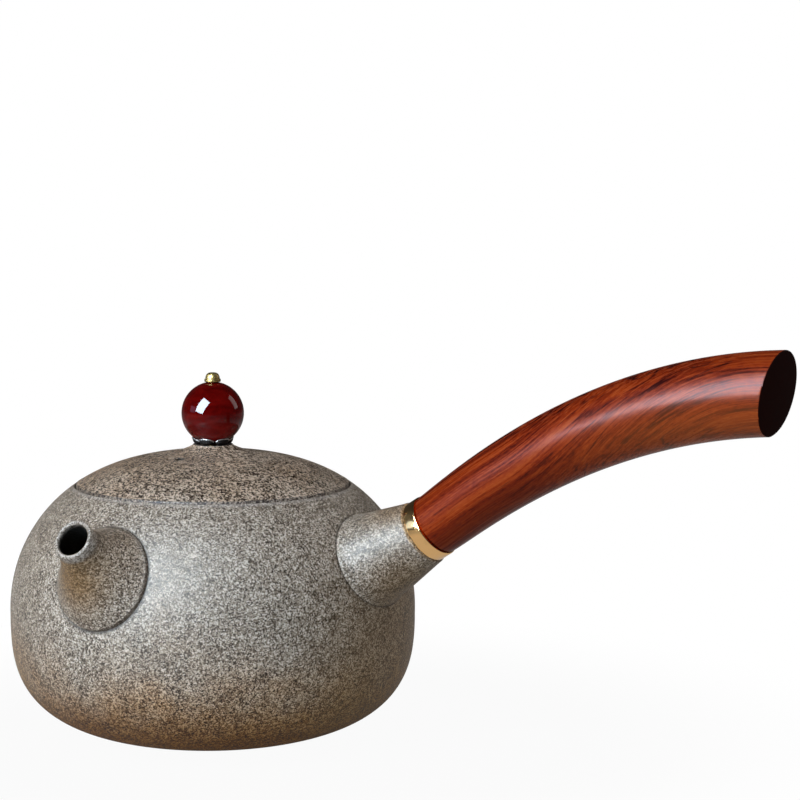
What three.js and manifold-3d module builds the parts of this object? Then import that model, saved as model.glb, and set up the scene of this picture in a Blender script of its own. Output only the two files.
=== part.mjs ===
// Side-handled teapot of speckled stoneware, with a bolted bead knob and a curved wooden handle.
// Millimetres, +Z up. The origin is the centre of the foot, the handle points along +X and the
// spout along -Y.

import * as THREE from 'three';
import { mergeVertices } from 'three/addons/utils/BufferGeometryUtils.js';
import Module from 'manifold-3d';

const wasm = await Module();
wasm.setup();

// Fineness of the round forms.
const bodySides = 46;
const sideFormSides = 28;
const smallSides = 20;
const curveSteps = 7;
const shellSteps = 4;
const roundSteps = 2;

// General clearances.
const joinGap = 0.3;
const stackGap = 0.1;
const cutOverrun = 2;

// Vessel: the widest ring, the closed dome above it and the bowl below it. The fullness shares are
// the powers of the two outlines: 2 is an ellipse and more is squarer.
const bellyRadius = 52;
const bellyHeight = 32.3;
const crownRise = 39.9;
const crownFullnessShare = 2.56;
const bowlFullnessShare = 3.05;
const footTrim = 1;
const wallThickness = 3.2;
const floorThickness = 3.8;

// Lid seat in the vessel's mouth.
const lidRadius = 35;
const lidClearance = 0.3;
const lidEdgeHeight = 3;
const ledgeWidth = 4.2;
const ledgeThickness = 3;
const lipRound = 0.4;

// Lid.
const lidThickness = 3.4;
const flangeDepth = 5.7;
const flangeWall = 2.6;
const flangeChamfer = 0.5;
const padRadius = 7.5;
const padThickness = 3.5;
const bossFootRadius = 13.5;
const bossFlareRadius = 8.1;
const bossTopRadius = 5.2;
const bossHeight = 2;
const bossDishDepth = 0.8;
const bossRound = 0.2;
const ventRadius = 1.15;
const ventDistance = 13.2;
const ventTurnDeg = -96;

// Bead knob on its bolt, with a petalled cap under the bead and a domed nut under the lid.
const beadRadius = 8;
const boltRadius = 1;
const boltClearance = 0.3;
const boltHeadRadius = 2.1;
const boltHeadRim = 0.3;
const boltChamfer = 0.2;
const boltPastNut = 0.8;
const capThickness = 0.5;
const capGap = 0.2;
const capRadius = 5.2;
const capNotchDepth = 2;
const capPetals = 6;
const capPetalSteps = 6;
const softWasherRadius = 5.5;
const softWasherThickness = 1;
const metalWasherRadius = 4;
const metalWasherThickness = 0.6;
const nutWidth = 4.5;
const nutHeight = 1.8;
const nutWall = 0.8;
const nutFaces = 6;
const threadClearance = 0.1;

// Spout: a flared form between a disc on the vessel and a round mouth. The flare share is the power
// at which it narrows.
const spoutTurnDeg = -91.2;
const spoutRootDrop = 17.15;
const spoutReach = 10.3;
const spoutRise = 11;
const spoutMouthRiseDeg = 32;
const spoutDiscRadius = 13;
const spoutDiscEdge = 1;
const spoutDiscRound = 0.5;
const spoutTipRadius = 5.1;
const spoutLipRound = 0.5;
const spoutWall = 1.3;
const spoutFlareShare = 2;
const spoutSteps = 8;
const pouringHoleRadius = 8.6;

// Ball strainer over the pouring hole.
const strainerWall = 1.5;
const strainerSkirt = 2;
const strainerHoleRadius = 0.9;
const strainerRings = 3;
const strainerRingStepDeg = 20;
const strainerHoleSides = 6;
const strainerHolesPerTurn = 6;

// Handle socket, whose axis the ring, the glue and the tenon share. It starts on the vessel's
// surface, the drop below the lid's seam. There its middle lies above the axis by the lift, and the
// root is wider sideways by the spread share. The floor is the clay between the bore and the vessel.
const socketRootDrop = 16.25;
const socketRiseDeg = 33;
const socketLength = 15.2;
const socketFloor = 1.6;
const socketRootRadius = 12;
const socketRootEdge = 1;
const socketRootLift = 1;
const socketRootSpreadShare = 1.22;
const socketEndRadius = 8.4;
const socketEndRound = 0.5;
const socketFlareShare = 1.1;
const socketSteps = 6;

// Tenon in its bed of glue. It is as long as the socket's bore allows.
const tenonRadius = 4.7;
const tenonChamfer = 0.4;
const glueThickness = 0.5;

// Brass ring on the handle's turned seat.
const ferruleWidth = 3.5;
const ferruleRadius = 8;
const ferruleWall = 1.5;
const ferruleRound = 0.3;

// Wooden handle. Its centreline leaves the ring along the socket's axis and flattens towards the
// tip. The pull shares set how far each end's direction carries, and the swell share is the power
// of its growing radius.
const handleReach = 87.8;
const handleRise = 37;
const handleTipRiseDeg = 4;
const handleStartPullShare = 0.09;
const handleEndPullShare = 0.5;
const handleStartRadius = 7.75;
const handleEndRadius = 9.9;
const handleSwellShare = 1.54;
const handleShoulderRound = 0.4;
const handleSteps = 16;
const endCutDropDeg = 9;
const endCutTurnDeg = -3.5;

const deg = THREE.MathUtils.degToRad;
const { clamp, lerp } = THREE.MathUtils;

// Outline of the vessel. The crown is the half above the belly and the bowl the half below it. An
// inset moves the outline inwards, for inner walls, and outwards where it is negative.
function crownPoint(angle, inset) {
  const radius = (bellyRadius - inset) * Math.cos(angle) ** (2 / crownFullnessShare);
  return new THREE.Vector2(radius, bellyHeight + (crownRise - inset) * Math.sin(angle));
}

function crownAngleAtRadius(radius, inset) {
  return Math.acos((radius / (bellyRadius - inset)) ** (crownFullnessShare / 2));
}

function crownAngleAtHeight(height, inset) {
  return Math.asin((height - bellyHeight) / (crownRise - inset));
}

function crownHeightAt(radius, inset) {
  return crownPoint(crownAngleAtRadius(radius, inset), inset).y;
}

function crownRadiusAt(height, inset) {
  return crownPoint(crownAngleAtHeight(height, inset), inset).x;
}

// How steeply the crown's surface faces upwards at a height.
function crownNormalRise(height) {
  const radius = crownRadiusAt(height, 0);
  const outward = crownFullnessShare * (radius / bellyRadius) ** (crownFullnessShare - 1) / bellyRadius;
  const upward = 2 * (height - bellyHeight) / crownRise ** 2;
  return Math.atan2(upward, outward);
}

// A point of the crown's surface in the plane of +X and +Z.
function surfacePoint(height) {
  return new THREE.Vector3(crownRadiusAt(height, 0), 0, height);
}

function bowlPoint(angle, inset, drop) {
  const power = 2 / bowlFullnessShare;
  const radius = (bellyRadius - inset) * Math.cos(angle) ** power;
  return new THREE.Vector2(radius, bellyHeight - drop * Math.sin(angle) ** power);
}

// Values from one number to another in equal steps, both ends included.
function stepped(from, to, steps) {
  return Array.from({ length: steps + 1 }, (unused, step) => lerp(from, to, step / steps));
}

function crownCurve(fromAngle, toAngle, inset) {
  return stepped(fromAngle, toAngle, curveSteps).map((angle) => crownPoint(angle, inset));
}

function bowlCurve(fromAngle, toAngle, inset, drop) {
  return stepped(fromAngle, toAngle, curveSteps).map((angle) => bowlPoint(angle, inset, drop));
}

function arc(centreRadius, centreHeight, radius, fromDeg, toDeg, steps) {
  return stepped(deg(fromDeg), deg(toDeg), steps).map((angle) => new THREE.Vector2(
    centreRadius + radius * Math.cos(angle),
    centreHeight + radius * Math.sin(angle),
  ));
}

function at(radius, height) {
  return new THREE.Vector2(radius, height);
}

// The lower side of a ball about the bead's centre, between two distances from the axis.
function beadShell(ballRadius, fromRadius, toRadius) {
  return stepped(fromRadius, toRadius, shellSteps).map((radius) => at(
    radius,
    beadCentre - Math.sqrt(ballRadius ** 2 - radius ** 2),
  ));
}

// Heights that several pieces share.
const seamHeight = crownHeightAt(lidRadius, 0);
const ledgeHeight = seamHeight - lidEdgeHeight;
const shelfHeight = ledgeHeight - ledgeThickness;
const mouthRadius = lidRadius - ledgeWidth;
const seatRadius = lidRadius + lidClearance;
const lipRadius = seatRadius + lipRound;
const lipAngle = crownAngleAtRadius(lipRadius, 0);
const shelfAngle = crownAngleAtHeight(shelfHeight, wallThickness);
const crownTop = bellyHeight + crownRise;
const bossTop = crownTop + bossHeight;
const padHeight = crownTop - padThickness;
const boltHoleRadius = boltRadius + boltClearance;
const capInnerRadius = beadRadius + capGap;
const capOuterRadius = capInnerRadius + capThickness;
const dishRadius = capOuterRadius + stackGap;
const beadCentre = bossTop - bossDishDepth + dishRadius;
const softWasherTop = padHeight - stackGap;
const metalWasherTop = softWasherTop - softWasherThickness - stackGap;
const nutTop = metalWasherTop - metalWasherThickness - stackGap;
const nutBoreRadius = boltRadius + threadClearance;
const boltBottom = nutTop - nutHeight - boltPastNut;

// Places that the handle's pieces share: the socket's root on the vessel, its axis, its end and the
// wood's shoulder. The bore stops short of the vessel also where the axis leans.
const socketAxis = new THREE.Vector3(Math.cos(deg(socketRiseDeg)), 0, Math.sin(deg(socketRiseDeg)));
const socketRoot = surfacePoint(seamHeight - socketRootDrop);
const socketRootRise = crownNormalRise(socketRoot.z);
const socketLean = Math.abs(deg(socketRiseDeg) - socketRootRise);
const socketEnd = socketRoot.clone().addScaledVector(socketAxis, socketLength);
const shoulderSetback = ferruleWidth + 2 * joinGap;
const shoulderPoint = socketEnd.clone().addScaledVector(socketAxis, shoulderSetback);
const glueInnerRadius = tenonRadius + joinGap;
const glueOuterRadius = glueInnerRadius + glueThickness;
const socketBoreRadius = glueOuterRadius + joinGap;
const socketBoreDepth = socketLength - socketFloor - socketBoreRadius * Math.tan(socketLean);
const glueDepth = socketBoreDepth - joinGap;
const tenonLength = glueDepth - glueThickness - joinGap;
const ferruleInnerRadius = ferruleRadius - ferruleWall;

// A mesh's geometry as one closed skin: shared corners are one vertex and nothing has collapsed.
function sealed(geometry) {
  geometry.deleteAttribute('normal');
  geometry.deleteAttribute('uv');
  const skin = mergeVertices(geometry);
  const corners = skin.index.array;
  const kept = [];
  for (let first = 0; first < corners.length; first += 3) {
    const [a, b, c] = corners.slice(first, first + 3);
    if (a !== b && b !== c && c !== a) {
      kept.push(a, b, c);
    }
  }
  skin.setIndex(kept);
  return skin;
}

// A form turned about the Z axis from (radius, height) points, outer walls first and upwards.
function turned(profile, sides) {
  const geometry = new THREE.LatheGeometry(profile, sides);
  geometry.rotateX(Math.PI / 2);
  return sealed(geometry);
}

// A turned ring: its profile closes on itself away from the axis.
function turnedRing(profile, sides) {
  return turned([...profile, profile[0].clone()], sides);
}

function upright(radius, bottom, top, sides) {
  return turned([at(0, bottom), at(radius, bottom), at(radius, top), at(0, top)], sides);
}

function toSolid(geometry) {
  const vertProperties = new Float32Array(geometry.attributes.position.array);
  const triVerts = new Uint32Array(geometry.index.array);
  return new wasm.Manifold(new wasm.Mesh({ numProp: 3, vertProperties, triVerts }));
}

function toGeometry(solid) {
  const mesh = solid.getMesh();
  const geometry = new THREE.BufferGeometry();
  geometry.setAttribute('position', new THREE.BufferAttribute(mesh.vertProperties, mesh.numProp));
  geometry.setIndex(new THREE.BufferAttribute(mesh.triVerts, 1));
  return geometry;
}

function cut(geometry, ...tools) {
  return toGeometry(tools.reduce((solid, tool) => solid.subtract(toSolid(tool)), toSolid(geometry)));
}

function common(geometry, tool) {
  return toGeometry(toSolid(geometry).intersect(toSolid(tool)));
}

function joined(geometry, tool) {
  return toGeometry(toSolid(geometry).add(toSolid(tool)));
}

// The cross-section of a side form, in the plane of +X and +Z, that faces along a rise angle.
function section(centre, rise) {
  return {
    centre,
    up: new THREE.Vector3(-Math.sin(rise), 0, Math.cos(rise)),
    side: new THREE.Vector3(0, -1, 0),
  };
}

// Moves each point of a form turned about Z into the cross-section at its height.
function bent(geometry, sectionAt) {
  const positions = geometry.attributes.position;
  for (let index = 0; index < positions.count; index += 1) {
    const { centre, up, side } = sectionAt(positions.getZ(index));
    const place = centre.clone();
    place.addScaledVector(up, positions.getX(index));
    place.addScaledVector(side, positions.getY(index));
    positions.setXYZ(index, place.x, place.y, place.z);
  }
  return geometry;
}

// The closed outer form of the vessel with its crown, grown by a gap. Its corners are in line with
// the vessel's own, so that the gap stays even.
function vesselForm(gap) {
  return turned([
    ...bowlCurve(Math.PI / 2, 0, -gap, bellyHeight + footTrim + gap),
    ...crownCurve(0, lipAngle, -gap).slice(1),
    ...crownCurve(lipAngle, Math.PI / 2, -gap).slice(1),
  ], bodySides);
}

// The closed space inside the vessel up to the ledge, shrunk by a gap.
function hollowForm(gap) {
  const inset = wallThickness + gap;
  return turned([
    ...bowlCurve(Math.PI / 2, 0, inset, bellyHeight - floorThickness - gap),
    ...crownCurve(0, shelfAngle, inset).slice(1),
    at(0, shelfHeight - gap),
  ], bodySides);
}

function vesselProfile() {
  const footAngle = Math.asin((bellyHeight / (bellyHeight + footTrim)) ** (bowlFullnessShare / 2));
  return [
    at(0, 0),
    ...bowlCurve(footAngle, 0, 0, bellyHeight + footTrim),
    ...crownCurve(0, lipAngle, 0).slice(1),
    at(seatRadius, crownHeightAt(lipRadius, 0)),
    at(seatRadius, ledgeHeight),
    at(mouthRadius + lipRound, ledgeHeight),
    at(mouthRadius, ledgeHeight - lipRound),
    at(mouthRadius, shelfHeight + lipRound),
    at(mouthRadius + lipRound, shelfHeight),
    ...crownCurve(shelfAngle, 0, wallThickness),
    ...bowlCurve(0, Math.PI / 2, wallThickness, bellyHeight - floorThickness).slice(1),
  ];
}

// Spout sections run from the disc's middle, where the vessel's surface is, to the mouth. The disc
// itself faces as the surface does, and its rim lies lower, because the vessel curves away.
const spoutRoot = surfacePoint(seamHeight - spoutRootDrop);
const spoutLine = new THREE.Vector3(spoutReach, 0, spoutRise);
const spoutRootRise = crownNormalRise(spoutRoot.z);
const spoutLength = spoutLine.length();
const spoutRimStation = spoutDiscEdge - spoutDiscRadius ** 2 / (2 * bellyRadius);
const spoutBoreInset = wallThickness + cutOverrun;

function spoutSection(station) {
  if (station < 0) {
    const inward = new THREE.Vector3(Math.cos(spoutRootRise), 0, Math.sin(spoutRootRise));
    return section(spoutRoot.clone().addScaledVector(inward, station), spoutRootRise);
  }
  const share = station / spoutLength;
  const rise = lerp(spoutRootRise, deg(spoutMouthRiseDeg), share);
  return section(spoutRoot.clone().addScaledVector(spoutLine, share), rise);
}

function flare(wideRadius, narrowRadius, fromStation, toStation, powerShare, steps) {
  return stepped(fromStation, toStation, steps).map((station) => {
    const left = (toStation - station) / (toStation - fromStation);
    return at(narrowRadius + (wideRadius - narrowRadius) * left ** powerShare, station);
  });
}

function spoutForm() {
  const shoulder = spoutDiscRadius - spoutDiscRound;
  const profile = [
    at(0, -spoutBoreInset),
    at(spoutDiscRadius, -spoutBoreInset),
    at(spoutDiscRadius, spoutRimStation - spoutDiscRound),
    ...flare(shoulder, spoutTipRadius, spoutRimStation, spoutLength - spoutLipRound, spoutFlareShare,
      spoutSteps),
    at(spoutTipRadius - spoutLipRound, spoutLength),
    at(0, spoutLength),
  ];
  return bent(turned(profile, sideFormSides), spoutSection);
}

// The way that the tea takes, from inside the vessel's wall out through the mouth.
function spoutBore() {
  const mouthHole = spoutTipRadius - spoutWall;
  const profile = [
    at(0, -spoutBoreInset),
    at(pouringHoleRadius, -spoutBoreInset),
    ...flare(pouringHoleRadius, mouthHole, 0, spoutLength, spoutFlareShare, spoutSteps),
    at(mouthHole, spoutLength + cutOverrun),
    at(0, spoutLength + cutOverrun),
  ];
  return bent(turned(profile, sideFormSides), spoutSection);
}

// The ball strainer: a domed shell on a short skirt that stands on the vessel's inner wall.
function strainerForm() {
  const outer = pouringHoleRadius + strainerWall;
  const shell = turnedRing([
    ...arc(0, strainerSkirt, outer, 0, 90, shellSteps),
    ...arc(0, strainerSkirt, pouringHoleRadius, 90, 0, shellSteps),
    at(pouringHoleRadius, -strainerSkirt),
    at(outer, -strainerSkirt),
  ], smallSides);
  return cut(shell, ...strainerDrills());
}

function strainerDrills() {
  const reach = pouringHoleRadius + strainerWall + cutOverrun;
  const drills = [];
  for (let ring = 0; ring <= strainerRings; ring += 1) {
    const holes = Math.max(ring * strainerHolesPerTurn, 1);
    for (let hole = 0; hole < holes; hole += 1) {
      const drill = upright(strainerHoleRadius, reach / 2, reach, strainerHoleSides);
      drill.rotateY(deg(ring * strainerRingStepDeg));
      drill.rotateZ(2 * Math.PI * hole / holes);
      drill.translate(0, 0, strainerSkirt);
      drills.push(drill);
    }
  }
  return drills;
}

// Turns the strainer to face inwards and sets it behind the spout's root.
function placedStrainer() {
  const strainer = strainerForm();
  strainer.rotateY(-Math.PI / 2 - spoutRootRise);
  const inward = new THREE.Vector3(-Math.cos(spoutRootRise), 0, -Math.sin(spoutRootRise));
  const foot = spoutRoot.clone().addScaledVector(inward, wallThickness);
  strainer.translate(foot.x, foot.y, foot.z);
  return common(strainer, hollowForm(joinGap));
}

function vesselWithPouringHole() {
  const bore = spoutBore();
  bore.rotateZ(deg(spoutTurnDeg));
  return cut(turned(vesselProfile(), bodySides), bore);
}

function spout() {
  return cut(spoutForm(), vesselForm(joinGap), spoutBore());
}

// Socket sections run from its middle on the vessel's surface to its end, along its axis.
function socketSection(station) {
  const share = clamp(station / socketLength, 0, 1);
  const rise = lerp(socketRootRise, deg(socketRiseDeg), share);
  const centre = socketRoot.clone().addScaledVector(socketAxis, station);
  centre.z += socketRootLift * (1 - share);
  const place = section(centre, rise);
  place.side.multiplyScalar(lerp(socketRootSpreadShare, 1, share));
  return place;
}

function handleSocket() {
  const rimStation = socketRootEdge - socketRootRadius ** 2 / (2 * bellyRadius);
  const outside = [
    at(0, -wallThickness - cutOverrun),
    at(socketRootRadius, -wallThickness - cutOverrun),
    ...flare(socketRootRadius, socketEndRadius, rimStation, socketLength - socketEndRound,
      socketFlareShare, socketSteps),
    at(socketEndRadius - socketEndRound, socketLength),
    at(0, socketLength),
  ];
  const cone = bent(turned(outside, sideFormSides), socketSection);
  const bore = upright(socketBoreRadius, -socketBoreDepth, cutOverrun, smallSides);
  bore.rotateY(Math.PI / 2 - deg(socketRiseDeg));
  bore.translate(socketEnd.x, socketEnd.y, socketEnd.z);
  return cut(cone, vesselForm(joinGap), bore);
}

// The glue, the ring and their heights are measured from the socket's end along its axis.
function glueCup() {
  return turned([
    at(0, -glueDepth),
    at(glueOuterRadius, -glueDepth),
    at(glueOuterRadius, -joinGap),
    at(glueInnerRadius, -joinGap),
    at(glueInnerRadius, -glueDepth + glueThickness),
    at(0, -glueDepth + glueThickness),
  ], smallSides);
}

function ferrule() {
  const top = joinGap + ferruleWidth;
  return turnedRing([
    at(ferruleRadius - ferruleRound, joinGap),
    at(ferruleRadius, joinGap + ferruleRound),
    at(ferruleRadius, top - ferruleRound),
    at(ferruleRadius - ferruleRound, top),
    at(ferruleInnerRadius, top),
    at(ferruleInnerRadius, joinGap),
  ], sideFormSides);
}

function planeDirection(rise) {
  return new THREE.Vector3(Math.cos(rise), 0, Math.sin(rise));
}

function handleCentreline() {
  const chord = Math.hypot(handleReach, handleRise);
  const tip = shoulderPoint.clone().add(new THREE.Vector3(handleReach, 0, handleRise));
  const start = shoulderPoint.clone().addScaledVector(socketAxis, chord * handleStartPullShare);
  const finish = tip.clone();
  finish.addScaledVector(planeDirection(deg(handleTipRiseDeg)), -chord * handleEndPullShare);
  return new THREE.CubicBezierCurve3(shoulderPoint, start, finish, tip);
}

const centreline = handleCentreline();
const handleLength = centreline.getLength();
const handleStock = handleEndRadius;

// Sections along the handle: straight through the ring and socket, then along the centreline, and
// straight on past the tip for the stock that the end cut removes.
function handleSection(station) {
  const share = clamp(station / handleLength, 0, 1);
  const tangent = centreline.getTangentAt(share);
  const past = station - share * handleLength;
  const centre = centreline.getPointAt(share).addScaledVector(tangent, past);
  return section(centre, Math.atan2(tangent.z, tangent.x));
}

function handleRadiusAt(station) {
  const left = 1 - clamp(station / handleLength, 0, 1);
  return handleStartRadius + (handleEndRadius - handleStartRadius) * (1 - left ** handleSwellShare);
}

function handleProfile() {
  const tenonEnd = -shoulderSetback - tenonLength;
  const ringSeatRadius = ferruleInnerRadius - joinGap;
  const ringSeatEnd = joinGap - shoulderSetback;
  const wood = stepped(handleShoulderRound, handleLength, handleSteps);
  return [
    at(0, tenonEnd),
    at(tenonRadius - tenonChamfer, tenonEnd),
    at(tenonRadius, tenonEnd + tenonChamfer),
    at(tenonRadius, ringSeatEnd),
    at(ringSeatRadius, ringSeatEnd),
    at(ringSeatRadius, 0),
    at(handleStartRadius - handleShoulderRound, 0),
    ...wood.map((station) => at(handleRadiusAt(station), station)),
    at(handleEndRadius, handleLength + handleStock),
    at(0, handleLength + handleStock),
  ];
}

function endCutTool() {
  const size = 4 * handleEndRadius;
  const tool = new THREE.BoxGeometry(size, size, size);
  tool.translate(size / 2, 0, 0);
  tool.rotateY(deg(endCutDropDeg));
  tool.rotateZ(deg(endCutTurnDeg));
  const tip = centreline.getPointAt(1);
  tool.translate(tip.x, tip.y, tip.z);
  return sealed(tool);
}

function woodHandle() {
  return cut(bent(turned(handleProfile(), sideFormSides), handleSection), endCutTool());
}

function lidProfile() {
  const restHeight = ledgeHeight + lidClearance;
  const flangeRadius = mouthRadius - lidClearance;
  const flangeInner = flangeRadius - flangeWall;
  const flangeBottom = restHeight - flangeDepth;
  const edgeRadius = lidRadius - lipRound;
  const domeUnderside = stepped(padRadius, flangeInner, shellSteps).map((radius) => at(
    radius,
    Math.min(crownHeightAt(radius, lidThickness), padHeight),
  ));
  const bossFoot = at(bossFootRadius, crownHeightAt(bossFootRadius, 0));
  const bossSide = new THREE.QuadraticBezierCurve(
    bossFoot,
    at(bossFlareRadius, crownTop),
    at(bossTopRadius, bossTop - bossRound),
  );
  return [
    at(boltHoleRadius, padHeight),
    ...domeUnderside,
    at(flangeInner, flangeBottom + flangeChamfer),
    at(flangeInner + flangeChamfer, flangeBottom),
    at(flangeRadius - flangeChamfer, flangeBottom),
    at(flangeRadius, flangeBottom + flangeChamfer),
    at(flangeRadius, restHeight),
    at(lidRadius, restHeight),
    at(lidRadius, crownHeightAt(edgeRadius, 0) - lipRound),
    ...crownCurve(crownAngleAtRadius(edgeRadius, 0), crownAngleAtRadius(bossFootRadius, 0), 0),
    ...bossSide.getPoints(shellSteps).slice(1),
    at(bossTopRadius - bossRound, bossTop),
    ...beadShell(dishRadius, Math.sqrt(dishRadius ** 2 - (beadCentre - bossTop) ** 2), boltHoleRadius),
  ];
}

function lid() {
  const vent = upright(ventRadius, ledgeHeight, bossTop, smallSides);
  vent.translate(ventDistance, 0, 0);
  vent.rotateZ(deg(ventTurnDeg));
  return cut(turnedRing(lidProfile(), bodySides), vent);
}

// The bead is a ball with a drilled way for the bolt.
function bead() {
  const openingDeg = THREE.MathUtils.radToDeg(Math.acos(boltHoleRadius / beadRadius));
  const ball = arc(0, beadCentre, beadRadius, -openingDeg, openingDeg, 2 * shellSteps);
  return turnedRing(ball, smallSides);
}

// The cap is a shell that follows the bead, trimmed to petals by an outline drawn from above.
function beadCap() {
  const shellRadius = capRadius + capThickness;
  const shell = turnedRing([
    ...beadShell(capOuterRadius, boltHoleRadius, shellRadius),
    ...beadShell(capInnerRadius, shellRadius, boltHoleRadius),
  ], sideFormSides);
  const depth = 2 * beadRadius;
  const outline = new THREE.ExtrudeGeometry(petalShape(), { depth, bevelEnabled: false });
  outline.translate(0, 0, beadCentre - depth);
  return common(shell, sealed(outline));
}

function petalShape() {
  const points = [];
  const steps = capPetals * capPetalSteps;
  for (let step = 0; step < steps; step += 1) {
    const angle = 2 * Math.PI * step / steps;
    const notch = (1 - Math.abs(Math.sin(angle * capPetals / 2))) ** 2;
    const radius = capRadius - capNotchDepth * notch;
    points.push(new THREE.Vector2(radius * Math.cos(angle), radius * Math.sin(angle)));
  }
  return new THREE.Shape(points);
}

function knobBolt() {
  const headBottom = beadCentre + beadRadius;
  return turned([
    at(0, boltBottom),
    at(boltRadius - boltChamfer, boltBottom),
    at(boltRadius, boltBottom + boltChamfer),
    at(boltRadius, headBottom),
    at(boltHeadRadius, headBottom),
    ...arc(0, headBottom + boltHeadRim, boltHeadRadius, 0, 90, 2 * roundSteps),
  ], smallSides);
}

function washer(radius, holeRadius, top, thickness) {
  return turnedRing([
    at(radius, top - thickness),
    at(radius, top),
    at(holeRadius, top),
    at(holeRadius, top - thickness),
  ], smallSides);
}

function domedNut() {
  const cornerRadius = nutWidth / 2 / Math.cos(Math.PI / nutFaces);
  const nutBottom = nutTop - nutHeight;
  const prism = upright(cornerRadius, nutBottom, nutTop, nutFaces);
  const dome = turned([
    ...arc(0, nutBottom, nutBoreRadius + nutWall, -90, 0, 2 * roundSteps),
    at(nutBoreRadius + nutWall, nutTop - nutHeight / 2),
    at(0, nutTop - nutHeight / 2),
  ], smallSides);
  const bore = upright(nutBoreRadius, boltBottom - boltClearance, nutTop + cutOverrun, smallSides);
  return cut(joined(prism, dome), bore);
}

function addPiece(group, name, geometry, color, roughness, metalness) {
  geometry.computeVertexNormals();
  const mesh = new THREE.Mesh(geometry, new THREE.MeshStandardMaterial({ color, roughness, metalness }));
  mesh.name = name;
  group.add(mesh);
  return mesh;
}

const stoneware = [0x857c70, 0.85, 0];
const brass = [0xd9b27c, 0.25, 1];
const steel = [0xb8b8bc, 0.35, 1];

const pot = new THREE.Group();
addPiece(pot, 'body_shell', vesselWithPouringHole(), ...stoneware);
const spoutMesh = addPiece(pot, 'spout', spout(), ...stoneware);
const strainerMesh = addPiece(pot, 'spout_strainer', placedStrainer(), ...stoneware);
spoutMesh.rotation.z = deg(spoutTurnDeg);
strainerMesh.rotation.z = deg(spoutTurnDeg);
addPiece(pot, 'handle_socket', handleSocket(), ...stoneware);
addPiece(pot, 'wood_handle', woodHandle(), 0x7a2b12, 0.35, 0);

const socketGroup = new THREE.Group();
socketGroup.position.copy(socketEnd);
socketGroup.rotation.y = Math.PI / 2 - deg(socketRiseDeg);
addPiece(socketGroup, 'socket_adhesive', glueCup(), 0xc9b98c, 0.5, 0);
addPiece(socketGroup, 'handle_ferrule', ferrule(), ...brass);
pot.add(socketGroup);

const lidGroup = new THREE.Group();
addPiece(lidGroup, 'lid', lid(), ...stoneware);
addPiece(lidGroup, 'knob_bead', bead(), 0x5a0000, 0.08, 0);
addPiece(lidGroup, 'knob_bead_cap', beadCap(), 0x8c8a86, 0.3, 1);
addPiece(lidGroup, 'knob_bolt', knobBolt(), ...brass);
const softWasher = washer(softWasherRadius, boltHoleRadius, softWasherTop, softWasherThickness);
addPiece(lidGroup, 'knob_soft_washer', softWasher, 0xe6e2da, 0.7, 0);
const metalWasher = washer(metalWasherRadius, boltHoleRadius, metalWasherTop, metalWasherThickness);
addPiece(lidGroup, 'knob_metal_washer', metalWasher, ...steel);
addPiece(lidGroup, 'knob_nut', domedNut(), ...brass);

const teapot = new THREE.Group();
teapot.add(pot, lidGroup);

export default teapot;
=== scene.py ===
# %% [markdown]
# # A side-handled stoneware teapot
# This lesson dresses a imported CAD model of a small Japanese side-handled teapot. The pot is thrown from
# coarse speckled clay. It has a flared spout, a lid with a red bead for a knob, and a curved rosewood
# handle that sits in a clay socket behind a brass ring. The CAD solids are faceted, so each one but the
# hidden glue gets a finer double here, made from the same sizes, and all of them get a finish.

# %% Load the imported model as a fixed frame
from math import acos, asin, atan2, cos, hypot, pi, radians, sin, sqrt

import bmesh
import bpy
from mathutils import Matrix, Vector
from mathutils.bvhtree import BVHTree


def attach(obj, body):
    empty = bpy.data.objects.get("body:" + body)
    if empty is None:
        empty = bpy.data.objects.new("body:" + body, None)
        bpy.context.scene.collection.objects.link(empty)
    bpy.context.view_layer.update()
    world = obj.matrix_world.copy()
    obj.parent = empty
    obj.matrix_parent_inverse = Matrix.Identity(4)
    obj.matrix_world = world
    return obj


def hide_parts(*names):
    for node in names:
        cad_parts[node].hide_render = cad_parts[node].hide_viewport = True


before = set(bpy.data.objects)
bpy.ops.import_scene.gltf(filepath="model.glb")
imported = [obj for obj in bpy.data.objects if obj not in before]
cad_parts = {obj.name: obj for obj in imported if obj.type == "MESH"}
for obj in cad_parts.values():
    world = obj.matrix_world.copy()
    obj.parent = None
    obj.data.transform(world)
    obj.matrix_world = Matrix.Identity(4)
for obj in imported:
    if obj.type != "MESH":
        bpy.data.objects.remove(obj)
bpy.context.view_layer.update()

mm = 0.001

# %% [markdown]
# ## The camera
# The photograph looks down a little on the pot from the spout's side, through a long lens. Such a lens
# keeps the handle from growing towards the viewer. The camera could be aimed by a constraint at an empty,
# but plain angles are easier to compare with a photograph: a tilt down, a turn round the pot and hardly
# any roll.

# %% Set up the camera
camera_data = bpy.data.cameras.new("photo_camera")
camera_data.sensor_width = 36
camera_data.lens = 114.54
camera_tilt, camera_roll, camera_turn = radians(83.67), radians(-0.13), radians(28.78)
camera = bpy.data.objects.new("photo_camera", camera_data)
camera.location = (354.0 * mm, -545.1 * mm, 157.5 * mm)
camera.rotation_euler = (camera_tilt, camera_roll, camera_turn)
bpy.context.scene.collection.objects.link(camera)
bpy.context.scene.camera = camera
print("camera stands", round(camera.location.length / mm), "mm from the foot")

# %% [markdown]
# ## Writing materials as sums
# A procedural material is a graph of nodes, and long graphs are hard to read. So one small class wraps a
# socket and lets Python's own + - * build the Math nodes, also with the number first, as in 1 - mask.
# A second class holds one material. Its method add makes any node, and the short methods after it make
# the nodes that come back in nearly every material.

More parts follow.
